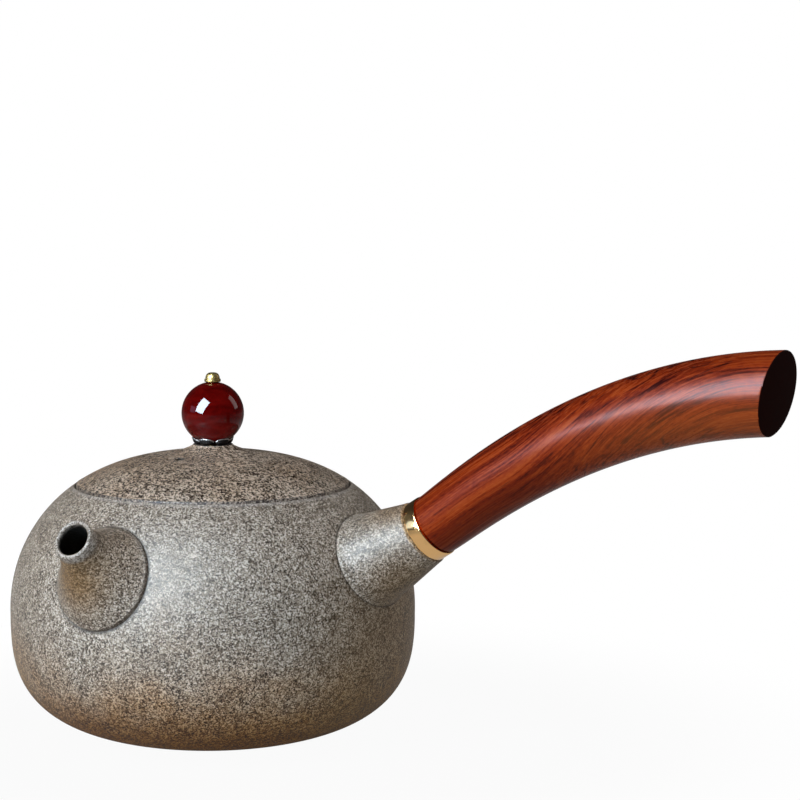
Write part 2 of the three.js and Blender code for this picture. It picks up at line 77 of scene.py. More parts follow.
# %% A socket that can be used in sums
class Signal:
    def __init__(self, finish, socket):
        self.finish = finish
        self.socket = socket

    def _sum(self, operation, first, second):
        return self.finish.add("ShaderNodeMath", {"operation": operation}, {0: first, 1: second})

    def __add__(self, other):
        return self._sum("ADD", self, other)

    def __radd__(self, other):
        return self._sum("ADD", other, self)

    def __sub__(self, other):
        return self._sum("SUBTRACT", self, other)

    def __rsub__(self, other):
        return self._sum("SUBTRACT", other, self)

    def __mul__(self, other):
        return self._sum("MULTIPLY", self, other)

    def __rmul__(self, other):
        return self._sum("MULTIPLY", other, self)


# %% A material with one method that adds any node
class Finish:
    def __init__(self, name, tree=None):
        if tree is None:
            self.material = bpy.data.materials.new(name)
            self.material.use_nodes = True
            tree = self.material.node_tree
        self.tree = tree
        self.shader = tree.nodes.get("Principled BSDF")

    def add(self, kind, settings=None, values=None, output=0):
        node = self.tree.nodes.new(kind)
        for key, setting in (settings or {}).items():
            setattr(node, key, setting)
        for key, value in (values or {}).items():
            self.feed(node.inputs[key], value)
        return Signal(self, node.outputs[output])

    def feed(self, socket, value):
        if isinstance(value, Signal):
            self.tree.links.new(value.socket, socket)
        else:
            socket.default_value = value

    def shade(self, **values):
        for name, value in values.items():
            self.feed(self.shader.inputs[name.replace("_", " ")], value)

    def show(self, light):
        self.feed(self.tree.nodes["Material Output"].inputs["Surface"], light)

    def place(self):
        return self.add("ShaderNodeTexCoord", output="Object")

    def kept(self, name, output="Fac"):
        return self.add("ShaderNodeAttribute", {"attribute_name": name}, output=output)

    def axis(self, vector, name):
        return self.add("ShaderNodeSeparateXYZ", {}, {0: vector}, output=name)

    def moved(self, vector, location=(0, 0, 0), scale=(1, 1, 1)):
        return self.add("ShaderNodeMapping", {}, {"Vector": vector, "Location": location, "Scale": scale})

    def noise(self, vector, scale, detail=2.0, roughness=0.5, distortion=0.0):
        values = {"Vector": vector, "Scale": scale, "Detail": detail, "Roughness": roughness,
                  "Distortion": distortion}
        return self.add("ShaderNodeTexNoise", {}, values)

    def cells(self, vector, scale):
        return self.add("ShaderNodeTexVoronoi", {}, {"Vector": vector, "Scale": scale}, output="Color")

    def between(self, value, low, high, to_low=0.0, to_high=1.0):
        values = {"Value": value, "From Min": low, "From Max": high, "To Min": to_low, "To Max": to_high}
        return self.add("ShaderNodeMapRange", {"interpolation_type": "SMOOTHSTEP"}, values)

    def ramp(self, share, *stops):
        made = self.add("ShaderNodeValToRGB", {}, {"Fac": share})
        points = made.socket.node.color_ramp.elements
        points.remove(points[-1])
        for index, (position, tint) in enumerate(stops):
            point = points[0] if index == 0 else points.new(position)
            point.position = position
            point.color = (*tint, 1)
        return made

    def mixed(self, share, first, second):
        return self.add("ShaderNodeMix", {"data_type": "RGBA"}, {0: share, 6: first, 7: second}, output=2)

    def distance(self, vector, point):
        settings = {"operation": "DISTANCE"}
        return self.add("ShaderNodeVectorMath", settings, {0: vector, 1: point}, output="Value")

    def reach(self, vector, centre, rotation, radii):
        local = self.add("ShaderNodeMapping", {"vector_type": "TEXTURE"}, {
            "Vector": vector, "Location": centre, "Rotation": rotation, "Scale": radii})
        return self.add("ShaderNodeVectorMath", {"operation": "LENGTH"}, {0: local}, output="Value")

    def bump(self, height, strength, distance):
        values = {"Height": height, "Strength": strength, "Distance": distance}
        return self.add("ShaderNodeBump", {}, values)


def colour(red, green, blue):
    return (red, green, blue, 1)


# %% [markdown]
# ## Speckled stoneware
# The clay is unglazed and full of sand: pale grains and dark iron specks of about half a millimetre, on a
# warm grey ground. A tiled image would repeat, so the grains come from Voronoi cells, each with its own
# random shade, broken up by fine noise. The same grains then pick their tone from three rows of colours:
# grey clay, clay that the fire left rusty, and clay that it burnt.

# %% Three rows of clay tones, from the darkest grain to the palest
grey_tones = (
    (0.05, (0.032, 0.021, 0.013)),
    (0.30, (0.146, 0.109, 0.077)),
    (0.55, (0.293, 0.237, 0.182)),
    (0.78, (0.440, 0.377, 0.306)),
    (0.98, (0.675, 0.604, 0.518)),
)
rusty_tones = (
    (0.05, (0.020, 0.009, 0.004)),
    (0.35, (0.122, 0.055, 0.018)),
    (0.60, (0.272, 0.142, 0.056)),
    (0.95, (0.570, 0.362, 0.182)),
)
burnt_tones = (
    (0.05, (0.026, 0.007, 0.001)),
    (0.35, (0.094, 0.031, 0.005)),
    (0.60, (0.196, 0.073, 0.013)),
    (0.95, (0.420, 0.190, 0.048)),
)
print("clay tones:", len(grey_tones) + len(rusty_tones) + len(burnt_tones))


# %% Grains of sand and grit
def sanded(clay, place, coarse, bite):
    sand = clay.axis(clay.cells(place, 3300 / coarse), "X")
    grit = clay.axis(clay.cells(place, 2000 / coarse), "Y")
    fine = clay.noise(place, 3400 / coarse, 3, 0.6)
    patches = clay.noise(place, 260, 3, 0.6)
    speckle = 0.90 * (sand - 0.5) + 0.36 * (grit - 0.5) + 1.35 * (fine - 0.5) + 0.55 * (patches - 0.5)
    return 0.5 + bite * speckle


# %% [markdown]
# ### Painted shade in the joints and the lid's seam, and a painted highlight on the lip
# Where two clay pieces meet, hardly any light gets into the corner. Light alone would leave these lines too
# weak, and a real groove would have to be cut along each joint. So painted shade turns the clay itself dark
# near a joint. Each place is given as an ellipsoid, and reach tells how far out a point lies: 1 is on its
# skin. The lid's seam is a circle, so the same measure with a very tall ellipsoid finds it. The vessel's
# lip beside the seam gets a thin painted highlight, a paler line.

# %% Paint shade into the joints
# Colours of the painted shade in the joints and of the painted shadow on the disc's side
painted_joint_shade, painted_disc_shadow = colour(0.028, 0.019, 0.013), colour(0.040, 0.026, 0.017)


def with_painted_shade(clay, place, tone, joints, shadowed_disc_side):
    # Painted shade: near each given place the clay's colour turns almost black
    for shaded_place in joints:
        shade_share = clay.between(clay.reach(place, *shaded_place), 1.075, 1.01)
        tone = clay.mixed(0.85 * shade_share, tone, painted_joint_shade)
    # Painted shadow: the side of the spout's disc darkens all round it
    if shadowed_disc_side:
        side = clay.between(clay.reach(place, *shadowed_disc_side), 0.955, 0.995)
        tone = clay.mixed(0.5 * side, tone, painted_disc_shadow)
    return tone


# %% Paint shade into the lid's seam and a highlight on the lip beside it
# Colours of the painted seam shade and the painted lip highlight
painted_seam_shade, painted_lip_highlight = colour(0.050, 0.042, 0.040), colour(0.52, 0.48, 0.46)
below_seam, endless = 55 * mm, 1000


def with_painted_seam(clay, place, tone, height):
    out = clay.reach(place, (0, 0, 0), (0, 0, 0), (seat_radius, seat_radius, endless))
    above = clay.between(height, below_seam, below_seam + 2 * mm)
    # Painted highlight: a thin paler ring on the lip beside the seam
    lip_highlight_share = clay.between(out, 1.008, 1.016) * clay.between(out, 1.042, 1.022) * above
    tone = clay.mixed(0.24 * lip_highlight_share, tone, painted_lip_highlight)
    # Painted shade: a thin dark line in the seam's gap
    seam_shade_share = clay.between(out, 0.986, 0.990) * clay.between(out, 1.005, 1.001) * above
    return clay.mixed(0.50 * seam_shade_share, tone, painted_seam_shade)


# %% [markdown]
# ### The whole stoneware
# The fire left the clay browner on the lid and towards the foot, burnt the very foot, and left brown
# stains on the spout's neck and left of the foot. Under the socket and below the handle the clay is browner
# and darker, and the socket's top gets painted shade. A patch is given by its middle, the radius up to
# which it is full, the radius where it ends, and its strength. Soft noise bends the borders, so that none
# ends in a clean circle. The spout's rim is paler, and its bore gets near-black painted shade from an
# attribute that its mesh carries. The grains stand a little proud, which is only bump, as half a
# millimetre of sand would take millions of faces.

# %% Mix the stoneware
def stoneware(name, warmth=0.0, soot=0.0, coarse=1.0, bite=1.0, stains_and_shade=(), joints=(), shadowed_disc_side=None,
              rim=None, inside=False):
    clay = Finish(name)
    place = clay.place()
    height = clay.axis(place, "Z")
    grains = sanded(clay, place, coarse, bite)
    grey, rusty, burnt = (clay.ramp(grains, *tones) for tones in (grey_tones, rusty_tones, burnt_tones))
    clouds, licks = clay.noise(place, 26, 3, 0.6), clay.noise(place, 95, 3, 0.6)
    foot_warmth = clay.between(height, 40 * mm, -6 * mm)
    brown = clay.between(clouds + (0.35 + 1.10 * licks) * foot_warmth + warmth, 0.50, 1.30)
    scorched = clay.between(height + 9 * mm * (clouds - 0.5), 19 * mm, 3 * mm)
    tone = clay.mixed(0.95 * scorched + soot, clay.mixed(brown, grey, rusty), burnt)
    stain_and_shade_tone = clay.mixed(0.45, rusty, colour(0.165, 0.100, 0.036))
    # Each patch mixes in a dark brown: real stains, and painted shade on the socket's top
    for point, inner, outer, strength in stains_and_shade:
        stain_and_shade_share = clay.between(clay.distance(place, point) + 3 * mm * (clouds - 0.5), outer, inner)
        tone = clay.mixed(strength * stain_and_shade_share, tone, stain_and_shade_tone)
    # The spout's rim turns paler
    if rim:
        point, inner, outer = rim
        paler_rim = clay.between(clay.distance(place, point), outer, inner)
        rim_grains = clay.between(grains, 0.22, 0.72)
        rim_tone = clay.mixed(rim_grains, colour(0.20, 0.155, 0.115), colour(0.90, 0.79, 0.67))
        tone = clay.mixed(paler_rim, tone, rim_tone)
    tone = with_painted_seam(clay, place, with_painted_shade(clay, place, tone, joints, shadowed_disc_side), height)
    # Painted shade: the spout's bore turns almost black
    if inside:
        tone = clay.mixed(clay.kept("inside"), tone, colour(0.003, 0.002, 0.001))
    clay.shade(Base_Color=tone, Roughness=0.36 + 0.24 * grains + 0.25 * scorched, Specular_IOR_Level=0.17,
               Normal=clay.bump(0.6 * grains + 0.25 * clouds, 0.5, 0.22 * mm))
    print("mixed", name, "with", len(clay.tree.nodes), "nodes")
    return clay.material


# %% [markdown]
# ## Making pieces with bmesh
# Thrown and turned pieces are all made alike: a half outline goes into a bmesh as a chain of edges, and
# the spin operator takes it once round the axis. Sweeps, such as the handle, start from one circle whose
# edges are extruded again and again, each new ring being moved to its own place along the piece. Both give
# clean quads, which take smooth shading well.

# %% Spin an outline about an axis
def chain(bm, points, closed=False):
    corners = [bm.verts.new((radius, 0, height)) for radius, height in points]
    edges = [bm.edges.new(pair) for pair in zip(corners, corners[1:])]
    if closed:
        edges.append(bm.edges.new((corners[-1], corners[0])))
    return corners + edges


def spun(points, closed=False, steps=192, place=Matrix.Identity(4)):
    bm = bmesh.new()
    bmesh.ops.spin(bm, geom=chain(bm, points, closed), cent=(0, 0, 0), axis=(0, 0, 1), angle=2 * pi,
                   steps=steps, use_merge=True)
    bmesh.ops.remove_doubles(bm, verts=bm.verts, dist=0.001 * mm)
    bmesh.ops.recalc_face_normals(bm, faces=bm.faces)
    bmesh.ops.transform(bm, matrix=place, verts=bm.verts)
    return bm


# %% Sweep a circle through a row of places
def swept(places, sides=96):
    bm = bmesh.new()
    mark = bm.verts.layers.int.new("ring")
    ring = bmesh.ops.create_circle(bm, segments=sides, radius=1)["verts"]
    edges = list(bm.edges)
    bmesh.ops.transform(bm, matrix=places[0], verts=ring)
    for number, (before, after) in enumerate(zip(places, places[1:]), 1):
        made = bmesh.ops.extrude_edge_only(bm, edges=edges)["geom"]
        ring = [item for item in made if isinstance(item, bmesh.types.BMVert)]
        bmesh.ops.transform(bm, matrix=after @ before.inverted(), verts=ring)
        for corner in ring:
            corner[mark] = number
        new = set(ring)
        edges = [edge for edge in bm.edges if edge.verts[0] in new and edge.verts[1] in new]
    return bm


def ring_edges(bm, number):
    mark = bm.verts.layers.int["ring"]
    return [edge for edge in bm.edges if all(corner[mark] == number for corner in edge.verts)]


# %% Add a drill, then cut one mesh with others
def drill(bm, radius, depth, place, sides):
    return bmesh.ops.create_cone(bm, cap_ends=True, segments=sides, radius1=radius, radius2=radius,
                                 depth=depth, matrix=place)["verts"]


def carved(bm, *tools):
    pieces = []
    for shape in (bm, *tools):
        mesh = bpy.data.meshes.new("rough")
        bmesh.ops.recalc_face_normals(shape, faces=shape.faces)
        shape.to_mesh(mesh)
        shape.free()
        piece = bpy.data.objects.new("rough", mesh)
        bpy.context.scene.collection.objects.link(piece)
        pieces.append(piece)
    target, *cutters = pieces
    for cutter in cutters:
        knife = target.modifiers.new("cut", "BOOLEAN")
        knife.operation = "DIFFERENCE"
        knife.solver = "EXACT"
        knife.object = cutter
    bpy.context.view_layer.update()
    result = bmesh.new()
    result.from_object(target, bpy.context.evaluated_depsgraph_get())
    for piece in pieces:
        bpy.data.meshes.remove(piece.data)
    return result


# %% Turn a bmesh into a finished piece
def finished(name, bm, materials, slot, body, *nodes, crease=32):
    bmesh.ops.remove_doubles(bm, verts=bm.verts, dist=0.002 * mm)
    bmesh.ops.recalc_face_normals(bm, faces=bm.faces)
    for face in bm.faces:
        face.smooth = True
    for edge in bm.edges:
        edge.smooth = edge.calc_face_angle(0) < radians(crease)
    mesh = bpy.data.meshes.new(name)
    bm.to_mesh(mesh)
    bm.free()
    for material in materials:
        mesh.materials.append(material)
    piece = bpy.data.objects.new(name, mesh)
    bpy.context.scene.collection.objects.link(piece)
    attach(piece, body)
    if nodes:
        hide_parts(*nodes)
    print(name, "has", len(mesh.polygons), "faces")


# %% [markdown]
# ## The thrown vessel
# The outline has two halves: a low dome above the widest ring and a squarer bowl below it. Each is a
# superellipse, which is an ellipse with another power, so one number sets how square the shoulder is. A
# hand-drawn Bezier would do as well, but then the inner wall would need a second drawing. Here the same
# outline, moved inwards by the wall's thickness, is the inside.

# %% Outline of the vessel
belly_radius, belly_height = 52 * mm, 32.3 * mm
crown_rise, crown_power, bowl_power = 39.9 * mm, 2.56, 3.05
foot_trim, wall, floor_depth = 1 * mm, 3.2 * mm, 3.8 * mm


def crown_point(angle, inset=0.0):
    radius = (belly_radius - inset) * max(cos(angle), 0) ** (2 / crown_power)
    return radius, belly_height + (crown_rise - inset) * sin(angle)


def crown_angle(radius, inset=0.0):
    return acos((radius / (belly_radius - inset)) ** (crown_power / 2))


def crown_height(radius, inset=0.0):
    return crown_point(crown_angle(radius, inset), inset)[1]


def bowl_point(angle, inset, drop):
    radius = (belly_radius - inset) * max(cos(angle), 0) ** (2 / bowl_power)
    return radius, belly_height - drop * sin(angle) ** (2 / bowl_power)


def steps_between(first, last, count):
    return [first + (last - first) * step / count for step in range(count + 1)]


def corner_arc(radius, height, size, start, end, count=4):
    return [(radius + size * cos(a), height + size * sin(a))
            for a in steps_between(radians(start), radians(end), count)]


print("crown top in mm:", round(crown_point(pi / 2)[1] / mm, 2))

# %% [markdown]
# ## The seat for the lid
# The mouth is turned with a step: a narrow wall that the lid's edge drops into, and a ledge that it rests
# on. Each edge has a small soft round, because wet clay never keeps a sharp corner, and the round catches
# the thin line of light that shows round the lid.

# %% Spin the vessel
lid_radius, seat_gap, lid_edge = 35 * mm, 0.18 * mm, 3 * mm
ledge_width, ledge_thickness, soft_edge = 4.2 * mm, 3 * mm, 0.4 * mm
seam_height = crown_height(lid_radius)
ledge_height = seam_height - lid_edge
shelf_height = ledge_height - ledge_thickness
mouth_radius = lid_radius - ledge_width
seat_radius = lid_radius + seat_gap
lip_height = crown_height(seat_radius + soft_edge)
shelf_angle = asin((shelf_height - belly_height) / (crown_rise - wall))
foot_angle = asin((belly_height / (belly_height + foot_trim)) ** (bowl_power / 2))

vessel_outline = [
    (0, 0),
    *[bowl_point(a, 0, belly_height + foot_trim) for a in steps_between(foot_angle, 0, 40)],
    *[crown_point(a) for a in steps_between(0, crown_angle(seat_radius + soft_edge), 40)][1:],
    *corner_arc(seat_radius + soft_edge, lip_height - soft_edge, soft_edge, 90, 180)[1:],
    *corner_arc(seat_radius - soft_edge, ledge_height + soft_edge, soft_edge, 0, -90),
    *corner_arc(mouth_radius + soft_edge, ledge_height - soft_edge, soft_edge, 90, 180),
    *corner_arc(mouth_radius + soft_edge, shelf_height + soft_edge, soft_edge, 180, 270),
    *[crown_point(a, wall) for a in steps_between(shelf_angle, 0, 32)],
    *[bowl_point(a, wall, belly_height - floor_depth) for a in steps_between(0, pi / 2, 32)][1:],
]
vessel = spun(vessel_outline)
vessel_surface = BVHTree.FromBMesh(vessel)
print("vessel outline has", len(vessel_outline), "points")

# %% [markdown]
# ## The spout
# The potter makes the spout apart, as a small flared tube with a wide disc for a root, and presses it on
# over the pouring hole with wet clay. So the disc follows the vessel's curve and keeps an even edge that
# stands proud. The tube is swept, outside from the disc to the lip and then back inside along the bore.
# After that each corner is dropped onto the vessel with a ray, fully at the disc and less towards the lip.

# %% Where the spout starts and how its sections stand
spout_bearing, mouth_rise = radians(-91.2), radians(32)
spout_turn = Matrix.Rotation(spout_bearing, 4, "Z")
root_height, spout_reach, spout_rise = seam_height - 17.15 * mm, 10.3 * mm, 11 * mm
spout_length = hypot(spout_reach, spout_rise)
disc_radius, tip_radius, hole_radius = 13 * mm, 5.1 * mm, 8.6 * mm
disc_edge, sunk, drill_depth = 1.0 * mm, 1.2 * mm, 16 * mm


def crown_radius(height):
    return crown_point(asin((height - belly_height) / crown_rise))[0]


def surface_rise(height):
    radius = crown_radius(height)
    outward = crown_power * (radius / belly_radius) ** (crown_power - 1) / belly_radius
    return atan2(2 * (height - belly_height) / crown_rise ** 2, outward)


def section(x, z, rise, radius, spread=1.0):
    return (Matrix.Translation((x, 0, z)) @ Matrix.Rotation(pi / 2 - rise, 4, "Y")
            @ Matrix.Diagonal((radius, radius * spread, 1, 1)))


root_radius, root_rise = crown_radius(root_height), surface_rise(root_height)


def spout_section(station, radius):
    share = min(max(station / spout_length, 0), 1)
    rise = root_rise + (mouth_rise - root_rise) * share
    past = station - share * spout_length
    x = root_radius + spout_reach * share + past * cos(rise)
    z = root_height + spout_rise * share + past * sin(rise)
    return spout_turn @ section(x, z, rise, radius)


def flared(wide, narrow, share, power=2.0):
    return narrow + (wide - narrow) * (1 - share) ** power


print("spout length in mm:", round(spout_length / mm, 2))

# %% Drape a swept root over the vessel
far_out = 60 * mm


def draped(section_at, rings, origin, outward, length):
    bm = swept([section_at(station, radius) for station, radius in rings])
    mark = bm.verts.layers.int["ring"]
    for corner in bm.verts:
        share = min(max(rings[corner[mark]][0] / length, 0), 1)
        start = corner.co + outward * far_out
        hit = vessel_surface.ray_cast(start, -outward)[0]
        if hit is not None:
            corner.co += outward * (hit - origin).dot(outward) * (1 - share) ** 2
    return bm


# %% Rings of the spout, from the disc to the lip and back inside
def edge_arc(station, radius, size, end, count):
    return [(station - size + size * sin(a), radius - size + size * cos(a))
            for a in steps_between(0, end, count)]


edge_round, lip_round = 0.45 * mm, 0.55 * mm
disc = [(-sunk, disc_radius), *edge_arc(disc_edge, disc_radius, edge_round, pi / 2, 4)]
outside = [(disc_edge + (spout_length - lip_round - disc_edge) * s,
            flared(disc_radius - edge_round, tip_radius, s)) for s in steps_between(0, 1, 28)][1:-1]
lip = edge_arc(spout_length, tip_radius, lip_round, pi, 8)
inside = [(spout_length * s, flared(hole_radius, tip_radius - 2 * lip_round, s))
          for s in steps_between(0.94, 0, 20)] + [(-sunk, hole_radius)]
spout_rings = disc + outside + lip + inside
print("the spout has", len(spout_rings), "rings")

# %% Sweep the spout
spout_origin = spout_turn @ Vector((root_radius, 0, root_height))
spout_outward = (spout_turn @ Vector((cos(root_rise), 0, sin(root_rise), 0))).to_3d()
spout_mesh = draped(spout_section, spout_rings, spout_origin, spout_outward, spout_length)
root_edges = ring_edges(spout_mesh, 0) + ring_edges(spout_mesh, len(spout_rings) - 1)
bmesh.ops.bridge_loops(spout_mesh, edges=root_edges)
mark = spout_mesh.verts.layers.int["ring"]
# How deep in the bore each corner lies, for the bore's painted shade
bore_shade = spout_mesh.verts.layers.float.new("inside")
first_inside = len(disc) + len(outside) + len(lip)
for corner in spout_mesh.verts:
    corner[bore_shade] = min(max((corner[mark] - first_inside + 2) / 3, 0), 1)
print("the spout has", len(spout_mesh.verts), "corners")

# %% Finish the spout and cut the pouring hole
spout_tip = spout_turn @ Vector((root_radius + spout_reach, 0, root_height + spout_rise))
neck = spout_turn @ Vector((root_radius + 8.5 * mm, -1.5 * mm, root_height + 1.5 * mm))
spout_joint = (spout_origin, (0, pi / 2 - root_rise, spout_bearing), (disc_radius,) * 3)
spout_clay = stoneware("spout_stoneware", warmth=0.12, shadowed_disc_side=spout_joint,
                       stains_and_shade=[(neck, 2 * mm, 15 * mm, 0.95)], rim=(spout_tip, 5.3 * mm, 6.2 * mm),
                       inside=True)
finished("spout_tube", spout_mesh, [spout_clay], "stoneware", "pot", "spout")

hole = bmesh.new()
drill(hole, hole_radius, drill_depth, spout_section(-1.5 * mm, 1), 96)
vessel = carved(vessel, hole)

# %% [markdown]
# ## The ball strainer
# Behind the pouring hole sits a small pierced dome that keeps the leaves in the pot. On the real one the
# potter presses a thin clay ball and drills it by hand in rings. Cutting dozens of cylinders one by one
# would be slow, so the drills are copied round with spin into one tool, and one cut does them all.

# %% Make the dome and the drills
strainer_wall, strainer_skirt, straw_radius, straw_depth = 1.5 * mm, 2 * mm, 0.9 * mm, 8 * mm
dome_radius, straw_middle, ring_tilt = hole_radius + strainer_wall, 10 * mm, radians(20)
dome_outline = (
    [(hole_radius, -strainer_skirt)]
    + [(hole_radius * cos(a), strainer_skirt + hole_radius * sin(a)) for a in steps_between(0, pi / 2, 24)]
    + [(dome_radius * cos(a), strainer_skirt + dome_radius * sin(a)) for a in steps_between(pi / 2, 0, 24)]
    + [(dome_radius, -strainer_skirt)]
)
dome = spun(dome_outline, closed=True, steps=96)
drills = bmesh.new()
for ring in range(4):
    tilt = Matrix.Translation((0, 0, strainer_skirt)) @ Matrix.Rotation(ring_tilt * ring, 4, "Y")
    straw = drill(drills, straw_radius, straw_depth, tilt @ Matrix.Translation((0, 0, straw_middle)), 20)
    count = max(6 * ring, 1)
    if count > 1:
        faces = {face for corner in straw for face in corner.link_faces}
        edges = {edge for corner in straw for edge in corner.link_edges}
        bmesh.ops.spin(drills, geom=[*straw, *edges, *faces], cent=(0, 0, 0), axis=(0, 0, 1),
                       angle=2 * pi * (count - 1) / count, steps=count - 1, use_duplicate=True)
print("the drills have", len(drills.faces), "faces")

# %% Drill the dome and set it behind the hole
dome = carved(dome, drills)
inner_wall = (root_radius - wall * cos(root_rise), 0, root_height - wall * sin(root_rise))
strainer_place = (spout_turn @ Matrix.Translation(inner_wall)
                  @ Matrix.Rotation(-pi / 2 - root_rise, 4, "Y"))
bmesh.ops.transform(dome, matrix=strainer_place, verts=dome.verts)
strainer_clay = stoneware("strainer_stoneware", warmth=0.1)
finished("strainer_dome", dome, [strainer_clay], "stoneware", "pot", "spout_strainer")

# %% [markdown]
# ## The handle's socket
# The socket is a stubby cone of the same clay. Its root is wider sideways than upwards, follows the
# vessel, and ends in a low edge that shows as a thin shadow towards the spout. Its far end is cut square
# for the brass ring, with a bore for the glued tenon. It is swept and draped just as the spout was, so
# only its sections are new.

# %% Where the socket starts and how its sections stand
socket_rise = radians(33)
socket_axis = Vector((cos(socket_rise), 0, sin(socket_rise)))
socket_length, socket_root, socket_tip = 15.2 * mm, 12 * mm, 8.4 * mm
socket_lift, socket_spread = 1 * mm, 1.22
socket_height = seam_height - 16.25 * mm
socket_start = Vector((crown_radius(socket_height), 0, socket_height))
socket_end = socket_start + socket_axis * socket_length
start_rise = surface_rise(socket_height)
bore_radius, bore_depth = 5.8 * mm, 12.6 * mm


def socket_section(station, radius):
    share = min(max(station / socket_length, 0), 1)
    rise = start_rise + (socket_rise - start_rise) * share
    centre = socket_start + socket_axis * station
    return section(centre.x, centre.z + socket_lift * (1 - share), rise, radius,
                   1 + (socket_spread - 1) * (1 - share))


print("socket starts", round(socket_height / mm, 1), "mm above the foot")

# %% Sweep the socket
root_edge, root_soft, end_soft = 0.8 * mm, 0.4 * mm, 0.5 * mm
socket_rings = [(-sunk, socket_root), (root_edge - root_soft, socket_root),
                (root_edge, socket_root - root_soft)]
socket_rings += [(root_edge + (socket_length - end_soft - root_edge) * s,
                  flared(socket_root - root_soft, socket_tip, s, 1.1)) for s in steps_between(0, 1, 24)][1:]
socket_rings += edge_arc(socket_length, socket_tip, end_soft, pi / 2, 5)[1:]
socket_rings += [(socket_length, bore_radius), (socket_length - bore_depth, bore_radius)]
socket_outward = Vector((cos(start_rise), 0, sin(start_rise)))
socket_mesh = draped(socket_section, socket_rings, socket_start, socket_outward, socket_length)
for number in (0, len(socket_rings) - 1):
    bmesh.ops.holes_fill(socket_mesh, edges=ring_edges(socket_mesh, number), sides=0)

# Browner and darker clay under the socket, and painted shade on the socket's top
browner_under_socket = socket_start + socket_axis * 9 * mm + Vector((4 * mm, -2 * mm, -13 * mm))
painted_shade_on_socket = socket_start + socket_axis * 11 * mm + Vector((-3 * mm, -3 * mm, 9 * mm))
socket_clay = stoneware("socket_stoneware", warmth=0.04, stains_and_shade=[
    (browner_under_socket, 5 * mm, 19 * mm, 0.75), (painted_shade_on_socket, 2 * mm, 11 * mm, 0.55)])
finished("socket_cone", socket_mesh, [socket_clay], "stoneware", "pot", "handle_socket")

# %% Finish the vessel with shade in both joints
socket_joint = (socket_start + Vector((0, 0, socket_lift)), (0, pi / 2 - start_rise, 0),
                (socket_root, socket_root * socket_spread, socket_root))
# Browner and darker clay below the handle, and a brown stain left of the foot
browner_below_handle, left_of_foot = Vector((55 * mm, 2 * mm, 22 * mm)), Vector((-40 * mm, -33 * mm, 13 * mm))
pot_clay = stoneware("pot_stoneware", joints=[spout_joint, socket_joint], stains_and_shade=[
    (browner_below_handle, 10 * mm, 44 * mm, 0.7), (left_of_foot, 5 * mm, 27 * mm, 0.6)])
finished("vessel_wall", vessel, [pot_clay], "stoneware", "pot", "body_shell")

# %% [markdown]
# ## Polished brass
# A thin ring covers the joint between clay and wood. Polished brass is all reflection, so its own colour
# only tints what it mirrors. What makes it look real is fine scratches and a little tarnish, here as noise
# that changes the roughness and the tone slightly. The knob's gold and the washer's steel are made alike.

# %% Brass for the ring and gold for the knob
def polished(name, tint, dark_tint, roughness, scratch_scale):
    metal = Finish(name)
    place = metal.place()
    cloud = metal.noise(place, 160, 4, 0.6)
    scratches = metal.noise(place, scratch_scale, 2, 0.7)
    worn = metal.between(cloud, 0.42, 0.72)
    metal.shade(Base_Color=metal.mixed(0.55 * worn, colour(*tint), colour(*dark_tint)), Metallic=1.0,
                Roughness=roughness + 0.10 * worn + 0.05 * scratches,
                Normal=metal.bump(0.4 * scratches + 0.4 * cloud, 0.05, 0.1 * mm))
    return metal.material


brass = polished("ring_brass", (1.0, 0.60, 0.25), (0.62, 0.33, 0.12), 0.08, 1400)
gold = polished("knob_gold", (0.26, 0.175, 0.065), (0.10, 0.065, 0.02), 0.36, 1600)

# %% Spin the ring
socket_place = Matrix.Translation(socket_end) @ Matrix.Rotation(pi / 2 - socket_rise, 4, "Y")
ring_radius, ring_wall, ring_width, joint_gap = 8 * mm, 1.5 * mm, 3.5 * mm, 0.3 * mm
ring_soft = 0.3 * mm
ring_outline = [
    (ring_radius - ring_wall, joint_gap),
    *corner_arc(ring_radius - ring_soft, joint_gap + ring_soft, ring_soft, -90, 0),
    *corner_arc(ring_radius - ring_soft, joint_gap + ring_width - ring_soft, ring_soft, 0, 90),
    (ring_radius - ring_wall, joint_gap + ring_width),
]
ring_mesh = spun(ring_outline, closed=True, steps=128, place=socket_place)
finished("brass_ring", ring_mesh, [brass], "brass", "pot", "handle_ferrule")

# %% [markdown]
# ## The rosewood handle
# The handle is carved and sanded from one straight-grained piece that follows the bend. It is swept along
# a Bezier curve and grows thicker towards its tip. The streaks have to run along the wood and bend with
# it, which Object coordinates can't do, so each corner keeps a grain position of its own: how far along
# the handle it is, and where it sits across it.

# %% Centreline of the handle
shoulder = socket_end + socket_axis * (ring_width + 2 * joint_gap)
handle_reach, handle_rise = 87.8 * mm, 37 * mm
chord = hypot(handle_reach, handle_rise)
tip_rise, start_share, end_share = radians(4), 0.09, 0.5
tip = shoulder + Vector((handle_reach, 0, handle_rise))
start_pull = shoulder + socket_axis * chord * start_share
end_pull = tip - Vector((cos(tip_rise), 0, sin(tip_rise))) * chord * end_share


def bezier(t):
    u = 1 - t
    return u ** 3 * shoulder + 3 * u * u * t * start_pull + 3 * u * t * t * end_pull + t ** 3 * tip


handle_steps = 400
samples = [bezier(step / handle_steps) for step in range(handle_steps + 1)]
reached = [0.0]
for before, after in zip(samples, samples[1:]):
    reached.append(reached[-1] + (after - before).length)
handle_length = reached[-1]
print("handle length in mm:", round(handle_length / mm, 1))


# %% Sections along the handle
handle_start, handle_end, handle_swell, rounding = 7.75 * mm, 9.9 * mm, 1.54, 1e-9


